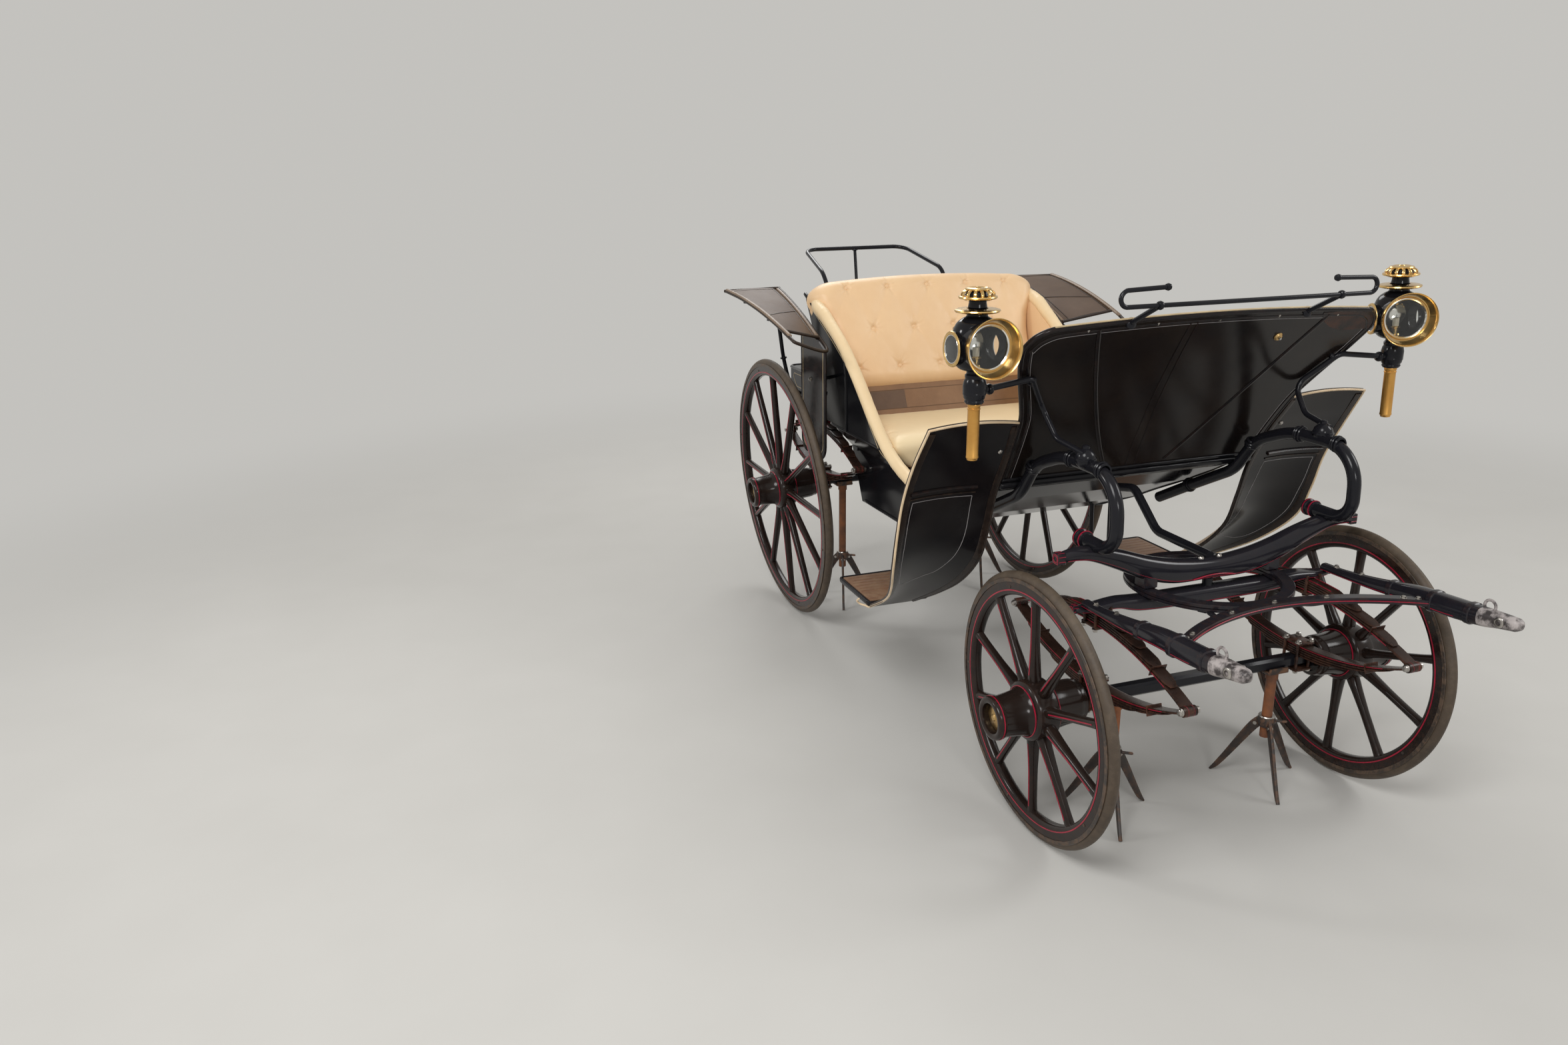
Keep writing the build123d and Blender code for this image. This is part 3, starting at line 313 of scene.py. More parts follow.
def make(name, form, finishes, body, stands_for=(), crease=38.0):
    """One object from a form, on its body, with the nodes that it stands for."""
    mesh = bpy.data.meshes.new(name)
    mesh.from_pydata(form.points.tolist(), [], form.faces)
    for material in finishes:
        mesh.materials.append(material)
    mesh.polygons.foreach_set("material_index", form.finish)
    tidy = bmesh.new()
    tidy.from_mesh(mesh)
    bmesh.ops.recalc_face_normals(tidy, faces=tidy.faces)
    tidy.to_mesh(mesh)
    tidy.free()
    mesh.polygons.foreach_set("use_smooth", [True] * len(mesh.polygons))
    mesh.set_sharp_from_angle(angle=math.radians(crease))
    piece = bpy.data.objects.new(name, mesh)
    bpy.context.scene.collection.objects.link(piece)
    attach(piece, body)
    if stands_for:
        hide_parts(*stands_for)
    return piece


def both(name, form, finishes, body, stands_for=(), crease=38.0):
    """The piece on the left hand and its mirrored twin; {} stands for the side in other names."""
    pieces = []
    for side, shape in (("left", form), ("right", form.mirrored())):
        nodes = [label.format(side) for label in stands_for]
        pieces.append(make(f"{name}_{side}", shape, finishes, body.format(side), nodes, crease))
    return pieces


# Finishes


def node(tree, kind, inputs=None, **settings):
    """A node with its settings, and its inputs given as values or as other nodes' outputs."""
    made = tree.nodes.new(kind)
    for key, value in settings.items():
        setattr(made, key, value)
    for key, value in (inputs or {}).items():
        if isinstance(value, bpy.types.NodeSocket):
            tree.links.new(value, made.inputs[key])
        else:
            made.inputs[key].default_value = value
    return made


def maths(tree, operation, a, b=0.5, clamp=False):
    return node(tree, "ShaderNodeMath", {0: a, 1: b}, operation=operation, use_clamp=clamp).outputs[0]


def clouds(tree, where, scale, detail, rough=0.5, distort=0.0):
    """Soft noise as a value."""
    inputs = {"Vector": where, "Scale": scale, "Detail": detail, "Roughness": rough, "Distortion": distort}
    return node(tree, "ShaderNodeTexNoise", inputs).outputs[0]


def mixed(tree, share, a, b, mode="MIX"):
    return node(tree, "ShaderNodeMix", {0: share, 6: a, 7: b}, data_type="RGBA", blend_type=mode).outputs[2]


def group(name, takes, gives):
    """An empty shader group with named inputs and outputs, each a colour (c) or a value (v)."""
    kinds = {"c": "NodeSocketColor", "v": "NodeSocketFloat"}
    tree = bpy.data.node_groups.new(name, "ShaderNodeTree")
    for label, kind in takes:
        tree.interface.new_socket(label, in_out="INPUT", socket_type=kinds[kind])
    for label, kind in gives:
        tree.interface.new_socket(label, in_out="OUTPUT", socket_type=kinds[kind])
    return tree, tree.nodes.new("NodeGroupInput").outputs, tree.nodes.new("NodeGroupOutput").inputs


def mottled_group():
    """Two tones of one colour in soft patches."""
    tree, given, out = group(
        "mottled colour",
        [("Tone A", "c"), ("Tone B", "c"), ("Scale", "v"), ("Contrast", "v")],
        [("Colour", "c"), ("Mask", "v")],
    )
    where = node(tree, "ShaderNodeTexCoord").outputs["Object"]
    cloud = clouds(tree, where, given["Scale"], 6.0, 0.62)
    spread = maths(tree, "MULTIPLY", maths(tree, "SUBTRACT", cloud, 0.5), given["Contrast"])
    mask = maths(tree, "ADD", spread, 0.5, clamp=True)
    tree.links.new(mixed(tree, mask, given["Tone A"], given["Tone B"]), out["Colour"])
    tree.links.new(mask, out["Mask"])
    return tree


def grain_group():
    """Pebbled skin with fine creases, as a height."""
    tree, given, out = group("leather grain", [("Scale", "v"), ("Creases", "v")], [("Height", "v")])
    where = node(tree, "ShaderNodeTexCoord").outputs["Object"]
    pebble = node(
        tree, "ShaderNodeTexVoronoi", {"Vector": where, "Scale": given["Scale"]}, feature="SMOOTH_F1"
    )
    coarse = maths(tree, "MULTIPLY", given["Scale"], 0.06)
    fold = clouds(tree, where, coarse, 5.0, distort=0.6)
    ridge = maths(tree, "ABSOLUTE", maths(tree, "SUBTRACT", fold, 0.5), 0.0)
    flat = maths(tree, "MINIMUM", maths(tree, "MULTIPLY", ridge, 12.0), 1.0)
    crease = maths(tree, "MULTIPLY", flat, given["Creases"])
    tree.links.new(maths(tree, "ADD", pebble.outputs["Distance"], crease), out["Height"])
    return tree


def dust_group():
    """Dust that settles on what faces up."""
    tree, given, out = group(
        "settled dust",
        [("Colour", "c"), ("Roughness", "v"), ("Dust", "c"), ("Amount", "v")],
        [("Colour", "c"), ("Roughness", "v")],
    )
    place = node(tree, "ShaderNodeTexCoord")
    facing = node(tree, "ShaderNodeSeparateXYZ", {0: place.outputs["Normal"]}).outputs[2]
    cloud = clouds(tree, place.outputs["Object"], 9.0, 8.0, 0.7)
    patch = maths(tree, "MULTIPLY", maths(tree, "POWER", cloud, 2.0), 2.4)
    lie = maths(tree, "ADD", maths(tree, "MULTIPLY", facing, 0.75), 0.25, clamp=True)
    share = maths(tree, "MULTIPLY", maths(tree, "MULTIPLY", lie, patch), given["Amount"], clamp=True)
    tree.links.new(mixed(tree, share, given["Colour"], given["Dust"]), out["Colour"])
    dull = maths(tree, "ADD", given["Roughness"], maths(tree, "MULTIPLY", share, 0.6), clamp=True)
    tree.links.new(dull, out["Roughness"])
    return tree


def wear_group():
    """Corners and ridges rubbed through to what is below."""
    tree, given, out = group(
        "rubbed edges", [("Colour", "c"), ("Roughness", "v"), ("Bare", "c"), ("Amount", "v"), ("Scale", "v")],
        [("Colour", "c"), ("Roughness", "v")],
    )
    ridge = node(tree, "ShaderNodeNewGeometry").outputs["Pointiness"]
    where = node(tree, "ShaderNodeTexCoord").outputs["Object"]
    chips = clouds(tree, where, given["Scale"], 7.0, 0.75)
    sharp = maths(tree, "MULTIPLY", maths(tree, "SUBTRACT", ridge, 0.51), 14.0, clamp=True)
    broken = maths(tree, "MULTIPLY", maths(tree, "SUBTRACT", chips, 0.46), 9.0, clamp=True)
    share = maths(tree, "MULTIPLY", maths(tree, "MULTIPLY", sharp, broken), given["Amount"], clamp=True)
    tree.links.new(mixed(tree, share, given["Colour"], given["Bare"]), out["Colour"])
    dull = maths(tree, "ADD", given["Roughness"], maths(tree, "MULTIPLY", share, 0.3), clamp=True)
    tree.links.new(dull, out["Roughness"])
    return tree


def film_group():
    """Brushed paint or varnish: uneven gloss and a faint ripple."""
    tree, given, out = group(
        "paint film", [("Scale", "v"), ("Roughness", "v"), ("Spread", "v")],
        [("Roughness", "v"), ("Height", "v")],
    )
    where = node(tree, "ShaderNodeTexCoord").outputs["Object"]
    smear = clouds(tree, where, given["Scale"], 6.0, 0.6)
    speck = clouds(tree, where, maths(tree, "MULTIPLY", given["Scale"], 16.0), 2.0)
    uneven = maths(tree, "MULTIPLY", maths(tree, "SUBTRACT", smear, 0.5), given["Spread"])
    tree.links.new(maths(tree, "ADD", given["Roughness"], uneven, clamp=True), out["Roughness"])
    ripple = maths(tree, "ADD", smear, maths(tree, "MULTIPLY", speck, 0.25))
    tree.links.new(ripple, out["Height"])
    return tree


MOTTLED = mottled_group()
GRAIN = grain_group()
DUST = dust_group()
WEAR = wear_group()
FILM = film_group()
DUST_TONE = (0.30, 0.24, 0.17, 1)


def finish(
    name, tones, rough, patches=(5.0, 2.0), spread=0.12, film=(14.0, 0.0), grain=None, dust=0.0, wear=None,
    **constants
):
    """A material in two tones with uneven gloss.

    patches is (scale, contrast), film is (scale, depth in mm), grain is (scale, creases, depth
    in mm) and wear is (colour, amount, scale).
    """
    material = bpy.data.materials.new(name)
    material.use_nodes = True
    tree = material.node_tree
    shader = tree.nodes["Principled BSDF"]
    for key, value in constants.items():
        shader.inputs[key.replace("_", " ")].default_value = value
    effect = lambda kind, inputs: node(tree, "ShaderNodeGroup", inputs, node_tree=kind).outputs
    tone = {"Tone A": (*tones[0], 1), "Tone B": (*tones[1], 1), "Scale": patches[0], "Contrast": patches[1]}
    colour = effect(MOTTLED, tone)["Colour"]
    coat = effect(FILM, {"Scale": film[0], "Roughness": rough, "Spread": spread})
    gloss = coat["Roughness"]
    if wear:
        bare = {"Bare": (*wear[0], 1), "Amount": wear[1], "Scale": wear[2]}
        rubbed = effect(WEAR, {"Colour": colour, "Roughness": gloss, **bare})
        colour, gloss = rubbed["Colour"], rubbed["Roughness"]
    if dust:
        settled = effect(DUST, {"Colour": colour, "Roughness": gloss, "Dust": DUST_TONE, "Amount": dust})
        colour, gloss = settled["Colour"], settled["Roughness"]
    tree.links.new(colour, shader.inputs["Base Color"])
    tree.links.new(gloss, shader.inputs["Roughness"])
    height, depth = coat["Height"], film[1]
    if grain:
        height, depth = effect(GRAIN, {"Scale": grain[0], "Creases": grain[1]})["Height"], grain[2]
    if depth:
        bump = node(tree, "ShaderNodeBump", {"Strength": 1.0, "Distance": depth * MM, "Height": height})
        tree.links.new(bump.outputs[0], shader.inputs["Normal"])
    return material


LACQUER = {"IOR": 1.42, "Specular_IOR_Level": 0.3}
BLACK = ((0.0045, 0.0048, 0.0065), (0.0080, 0.0080, 0.0098))
IRON = ((0.0060, 0.0066, 0.0095), (0.0115, 0.0115, 0.0150))
UMBER = (0.060, 0.024, 0.014)
body_varnish = finish(
    "black coach varnish", BLACK, 0.13, spread=0.06, dust=0.012, film=(7.0, 0.03), **LACQUER
)
iron_paint = finish("black japanned iron", IRON, 0.17, spread=0.08, dust=0.015, film=(20.0, 0.03), **LACQUER)
beam_varnish = finish(
    "dark varnish on carved beams", ((0.0070, 0.0076, 0.0120), (0.0150, 0.0140, 0.0190)), 0.13, spread=0.07,
    dust=0.02, film=(10.0, 0.04), wear=(UMBER, 0.25, 45.0), IOR=1.44, Specular_IOR_Level=0.4,
)
wheel_varnish = finish(
    "dark varnish on wheels", ((0.0085, 0.0055, 0.0050), (0.0175, 0.0105, 0.0085)), 0.16, spread=0.08,
    dust=0.02, film=(12.0, 0.05), wear=(UMBER, 0.35, 50.0), IOR=1.42, Specular_IOR_Level=0.4,
)
spring_paint = finish(
    "worn paint on springs", ((0.0110, 0.0065, 0.0060), (0.0380, 0.0165, 0.0110)), 0.26, patches=(9.0, 2.6),
    dust=0.03, film=(16.0, 0.06), wear=((0.11, 0.042, 0.024), 0.6, 40.0), **LACQUER,
)
crimson = finish("crimson lining", ((0.40, 0.006, 0.034), (0.21, 0.004, 0.02)), 0.3, patches=(30.0, 2.5))
rubber = finish(
    "aged rubber", ((0.036, 0.024, 0.016), (0.070, 0.047, 0.029)), 0.55, patches=(7.0, 2.2), dust=0.16,
    film=(22.0, 0.2), wear=((0.20, 0.15, 0.10), 0.4, 30.0),
)
channel_iron = finish(
    "dark rim channel", ((0.014, 0.010, 0.009), (0.036, 0.024, 0.017)), 0.34, dust=0.12, film=(18.0, 0.08),
    wear=((0.13, 0.08, 0.05), 0.7, 35.0),
)
patent = finish(
    "black patent leather", ((0.0050, 0.0050, 0.0068), (0.0120, 0.0095, 0.0092)), 0.16, patches=(4.0, 2.4),
    spread=0.08, dust=0.015, grain=(620.0, 0.35, 0.025), wear=(UMBER, 0.2, 38.0), **LACQUER,
)
dash_leather = finish(
    "mottled dash leather", ((0.0050, 0.0048, 0.0058), (0.0165, 0.0110, 0.0080)), 0.17, patches=(4.5, 2.2),
    spread=0.10, dust=0.012, grain=(560.0, 0.5, 0.035), **LACQUER,
)
worn_leather = finish(
    "rubbed red brown leather", ((0.0600, 0.0200, 0.0100), (0.0110, 0.0080, 0.0070)), 0.3,
    patches=(22.0, 3.4), spread=0.2, grain=(560.0, 0.5, 0.05), **LACQUER,
)
edge_leather = finish(
    "dark brown edging", ((0.0080, 0.0055, 0.0048), (0.0180, 0.0105, 0.0080)), 0.28, patches=(12.0, 2.0),
    grain=(700.0, 0.4, 0.04), wear=((0.10, 0.06, 0.035), 0.25, 40.0), Specular_IOR_Level=0.3,
)
pale_piping = finish(
    "cream piping", ((0.62, 0.45, 0.27), (0.78, 0.62, 0.42)), 0.4, patches=(20.0, 2.0),
    grain=(900.0, 0.3, 0.03), Sheen_Weight=0.1,
)
gold_line = finish(
    "old gold line", ((0.40, 0.30, 0.17), (0.56, 0.44, 0.26)), 0.4, patches=(24.0, 2.4), film=(60.0, 0.02)
)
grey_stitch = finish(
    "grey stitched line", ((0.20, 0.19, 0.20), (0.33, 0.31, 0.31)), 0.5, patches=(60.0, 3.0),
    film=(300.0, 0.1),
)
lining_tan = finish(
    "tan lining leather", ((0.33, 0.22, 0.12), (0.45, 0.31, 0.18)), 0.55, patches=(7.0, 2.0), dust=0.1,
    grain=(420.0, 0.8, 0.12),
)
seat_cream = finish(
    "pale cream seat leather", ((0.86, 0.70, 0.44), (0.80, 0.62, 0.37)), 0.45, patches=(4.5, 1.8),
    grain=(520.0, 0.7, 0.06), wear=((0.62, 0.44, 0.25), 0.2, 30.0), Sheen_Weight=0.05,
)
# painted shade: the seat's and rolls' cream leather drawn darker and more orange, for the back, its buttons
# and the side linings, which lie in shade
back_leather_painted_shade = finish(
    "peach cream back leather", ((0.82, 0.575, 0.335), (0.76, 0.505, 0.28)), 0.45, patches=(5.0, 1.8),
    grain=(520.0, 0.7, 0.06), wear=((0.60, 0.38, 0.20), 0.2, 30.0), Sheen_Weight=0.05,
)
roll_cream = finish(
    "cream roll leather", ((0.86, 0.675, 0.415), (0.80, 0.60, 0.35)), 0.42, patches=(9.0, 2.0),
    grain=(560.0, 0.8, 0.06), wear=((0.62, 0.44, 0.25), 0.25, 34.0), Sheen_Weight=0.05,
)
brown_board = finish(
    "brown covered board", ((0.175, 0.085, 0.034), (0.245, 0.130, 0.058)), 0.5, patches=(9.0, 2.2),
    grain=(480.0, 0.8, 0.10),
)
# a darker brown tone laid as a rectangle on the left part of the board between the seat and the back
darker_board_patch = finish(
    "dark leather patch", ((0.085, 0.044, 0.022), (0.120, 0.066, 0.034)), 0.5, patches=(16.0, 2.0),
    grain=(500.0, 0.8, 0.10),
)
guard_leather = finish(
    "brown mudguard leather", ((0.066, 0.036, 0.020), (0.105, 0.062, 0.036)), 0.5, patches=(5.0, 2.2),
    grain=(420.0, 0.7, 0.05), Specular_IOR_Level=0.3,
)
guard_edge = finish(
    "dark mudguard edging", ((0.016, 0.010, 0.007), (0.034, 0.020, 0.013)), 0.4, patches=(14.0, 2.0),
    grain=(600.0, 0.5, 0.05), Specular_IOR_Level=0.3,
)
guard_rim = finish(
    "pale rubbed rim", ((0.150, 0.100, 0.066), (0.230, 0.160, 0.105)), 0.42, patches=(12.0, 2.2),
    grain=(600.0, 0.5, 0.05),
)
tread_cover = finish(
    "brown step tread", ((0.150, 0.068, 0.034), (0.225, 0.115, 0.060)), 0.5, patches=(12.0, 2.4), dust=0.12,
    grain=(380.0, 1.0, 0.3), wear=((0.30, 0.20, 0.12), 0.4, 26.0),
)
floor_carpet = finish(
    "dark floor mat", ((0.035, 0.024, 0.018), (0.07, 0.048, 0.034)), 0.85, patches=(30.0, 2.0), dust=0.3,
    grain=(900.0, 1.0, 0.6),
)
brass = finish(
    "polished brass", ((0.83, 0.58, 0.24), (0.72, 0.46, 0.17)), 0.2, patches=(14.0, 2.0), spread=0.2,
    film=(26.0, 0.03), wear=((0.36, 0.22, 0.09), 0.3, 60.0), Metallic=1.0,
)
hub_brass = finish(
    "dull hub brass", ((0.62, 0.42, 0.18), (0.42, 0.27, 0.11)), 0.34, patches=(34.0, 2.4), spread=0.3,
    film=(40.0, 0.08), Metallic=1.0,
)
golden_tube = finish(
    "satin golden tube", ((0.74, 0.41, 0.11), (0.58, 0.29, 0.07)), 0.36, patches=(12.0, 2.2), spread=0.2,
    film=(30.0, 0.04), Metallic=0.9,
)
silver = finish(
    "silvered reflector", ((0.86, 0.85, 0.82), (0.74, 0.71, 0.66)), 0.12, patches=(16.0, 2.0), spread=0.1,
    film=(20.0, 0.03), Metallic=1.0,
)
candle_wax = finish(
    "candle wax", ((0.80, 0.74, 0.60), (0.72, 0.64, 0.48)), 0.45, patches=(40.0, 2.0), film=(50.0, 0.02)
)
steel = finish(
    "bright bolt steel", ((0.52, 0.50, 0.47), (0.36, 0.33, 0.30)), 0.3, patches=(60.0, 2.4), spread=0.25,
    film=(60.0, 0.05), Metallic=1.0,
)
lamp_glass = finish(
    "lamp glass", ((0.97, 0.98, 0.97), (0.93, 0.95, 0.94)), 0.03, spread=0.04, film=(9.0, 0.05),
    Transmission_Weight=1.0, IOR=1.45,
)
bare_tip = finish(
    "worn grey shaft tip", ((0.40, 0.36, 0.35), (0.035, 0.028, 0.028)), 0.45, patches=(34.0, 6.0),
    spread=0.3, film=(60.0, 0.5),
)
rust = finish(
    "rusty stand tube", ((0.26, 0.085, 0.026), (0.110, 0.042, 0.020)), 0.62, patches=(17.0, 3.0),
    spread=0.25, dust=0.12, film=(70.0, 0.5),
)
stand_black = finish(
    "dark stand iron", ((0.014, 0.011, 0.011), (0.034, 0.022, 0.018)), 0.4, dust=0.06, film=(30.0, 0.15),
    wear=((0.17, 0.08, 0.04), 0.9, 40.0),
)

# Finishes of the solids that show themselves; the rest of them are painted iron
NODE_FINISHES = {
    "rear_bar": beam_varnish, "bow_bar": beam_varnish, "tub_side": body_varnish, "floor_board": body_varnish,
    "back_panel": body_varnish, "boot": body_varnish, "rumble_seat": body_varnish, "dash": dash_leather,
    "seat_box": brown_board,
}
for key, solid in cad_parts.items():
    chosen = NODE_FINISHES.get(key.replace("_left", "").replace("_right", ""), iron_paint)
    for place in solid.material_slots:
        place.material = chosen

# Wheels: turned about the axle's line, which leans with the dish, the outer face towards +X

WHEELS = [
    # ends, half track, axle y, rim radius, lean in degrees, spokes
    ("rear", 598.0, 0.0, 531.0, 4.5, 12),
    ("front", 534.0, FRONT_AXLE, 381.0, 2.4, 10),
]
FLOOR_GAP = 3.0
TYRE_DEPTH = 27.0
FELLOE_DEPTH = 40.0
AXLE_LINE = (1.0, 0.0, 0.0)
CENTRE = np.zeros(3)

HUB_PROFILE = [
    (0, -128), (43, -128), (45, -137), (52, -138), (57, -134), (58, -121), (60, -118), (61, -108), (62, -80),
    (66, -50), (69, -38), (77, -35), (82, -31), (84.5, -26), (85, 0), (84.5, 26), (82, 31), (77, 34),
    (70, 36), (66, 42), (62, 56), (59, 84), (57, 110), (57.5, 113), (60, 115), (60.5, 131), (58, 136),
    (54, 138), (46, 138), (42, 135), (40.5, 128), (39.5, 112), (0, 112),
]
HUB_DISC = [
    (0, 127), (7, 127), (8.5, 125), (10, 123.5), (25, 122.5), (29, 120), (35, 119.5), (38.8, 117),
    (38.8, 110), (0, 110),
]
# Spoke section down its length: distance out from the hub's middle, or in from the felloe where
# it is negative; half depth, half width
SPOKE_FOOT = [(72, 17.5, 16.5), (92, 18.5, 16.0), (118, 17.0, 13.6), (160, 14.8, 12.0)]
SPOKE_TIP = [(-120, 13.2, 11.4), (-48, 12.6, 11.6), (-14, 12.8, 12.8), (6, 13.6, 14.2)]
RIVET = [(0, 15), (4.2, 15), (4.2, 18.2), (2.6, 19.2), (0, 19.4)]


def wheel_place(half_track, axle_y, radius, lean):
    height = FLOOR_GAP + radius * math.cos(math.radians(lean))
    return Matrix.Translation(at(half_track, axle_y, height)) @ turn_by(lean, "Y")


def coach_wheel(radius, spokes):
    rim_out = radius - TYRE_DEPTH
    rim_in = rim_out - FELLOE_DEPTH
    form = Form()
    form.turned(HUB_PROFILE, CENTRE, AXLE_LINE, 64)
    form.turned(HUB_DISC, CENTRE, AXLE_LINE, 48, finish=2)
    for place in (-39.0, 37.0):
        line = [(69.5, place - 1.6), (71.5, place - 1.2), (71.5, place + 1.2), (69.5, place + 1.6)]
        form.turned(line, CENTRE, AXLE_LINE, 64, loop=True, finish=1)
    line = [(59.5, 121.8), (61.3, 122), (61.3, 124.6), (59.5, 124.8)]
    form.turned(line, CENTRE, AXLE_LINE, 64, loop=True, finish=1)
    felloe = [
        (rim_out, -17), (rim_out, 17), (rim_in + 15, 17.2), (rim_in + 7, 16), (rim_in + 2.5, 12), (rim_in, 6),
        (rim_in, -6), (rim_in + 2.5, -12), (rim_in + 7, -16), (rim_in + 15, -17.2),
    ]
    form.turned(felloe, CENTRE, AXLE_LINE, 144, loop=True)
    for side in (-1, 1):
        band = [(rim_in + d, side * w) for d, w in ((13.5, 16.2), (13.8, 17.9), (17.2, 17.9), (17.5, 16.2))]
        form.turned(band, CENTRE, AXLE_LINE, 144, loop=True, finish=1)
    channel = [
        (rim_out - 1, -19), (rim_out + 9, -19), (rim_out + 10, -17.8), (rim_out + 9, -16),
        (rim_out + 1, -15.6),
    ]
    channel += [(r, -x) for r, x in reversed(channel)]
    form.turned(channel, CENTRE, AXLE_LINE, 144, loop=True, finish=3)
    rows = SPOKE_FOOT + [(rim_in + d, a, b) for d, a, b in SPOKE_TIP]
    rows = smooth(rows, 4)
    section = oval(1, 1, 16, 2.3)
    for k in range(spokes):
        spoke = Form()
        path = [(0, 0, row[0] * MM) for row in rows]
        spoke.rod(path, section, scale=[(row[2], row[1]) for row in rows], up=AXLE_LINE)
        lined = [(row[1] * MM, 0, row[0] * MM) for row in rows if 100 < row[0] < rim_in - 12]
        spoke.rod(lined, raised(3.4, 0.9, 1.5), up=AXLE_LINE, finish=1)
        form.join(spoke.moved(Matrix.Rotation(2 * math.pi * k / spokes, 4, "X")))
        if k % 2:
            between = Matrix.Rotation(2 * math.pi * (k + 0.5) / spokes, 4, "X")
            joint = Form()
            spot = np.array((0, 0, (rim_in + 24) * MM))
            for side in (-1, 1):
                joint.turned(RIVET, spot, (side, 0, 0), 12, finish=3)
            form.join(joint.moved(between))
    return form


def rubber_tyre(radius):
    low = radius - TYRE_DEPTH
    outline = [
        (low, -15), (low + 9, -15.5), (radius - 11, -14.6), (radius - 5, -11), (radius - 1.2, -5.5),
        (radius, 0),
    ]
    outline += [(r, -x) for r, x in reversed(outline[:-1])]
    return Form().turned(outline, CENTRE, AXLE_LINE, 160, loop=True)


for end, half_track, axle_y, radius, lean, spokes in WHEELS:
    place = wheel_place(half_track, axle_y, radius, lean)
    body = f"wheel_{end}_{{}}"
    wheel = coach_wheel(radius, spokes).moved(place)
    wheel_finishes = [wheel_varnish, crimson, hub_brass, channel_iron]
    both(f"{end}_coach_wheel", wheel, wheel_finishes, body, [f"{end}_wheel_{{}}"])
    tyre = rubber_tyre(radius).moved(place)
    both(f"{end}_rubber_tyre", tyre, [rubber], body, [f"{end}_tyre_{{}}"], crease=50)

# Springs: separate leaves, the longest inside, rolled eyes with bolts, and bolts through their middles

LEAF = 7.0
LEAVES = 5
SPRING_WIDTH = 38.0
SAG = 84.0
LEAF_SHORTER = 0.17
CLIP_SHARE = 0.66
BOLT_X, BOLT_Y = 22.6, 25.0


def bolt_head(form, centre, axis, radius, height, finish=0, sides=6):
    """A nut or bolt head on a washer."""
    washer = [(0, 0), (1.35, 0), (1.35, 0.2), (0.9, 0.24), (0, 0.24)]
    head = [(0, 0.2), (1, 0.2), (1, 0.85), (0.75, 1), (0, 1.02)]
    for outline, count in ((washer, 18), (head, sides)):
        profile = [(radius * r, height * h) for r, h in outline]
        form.turned(profile, centre, axis, count, finish=finish)


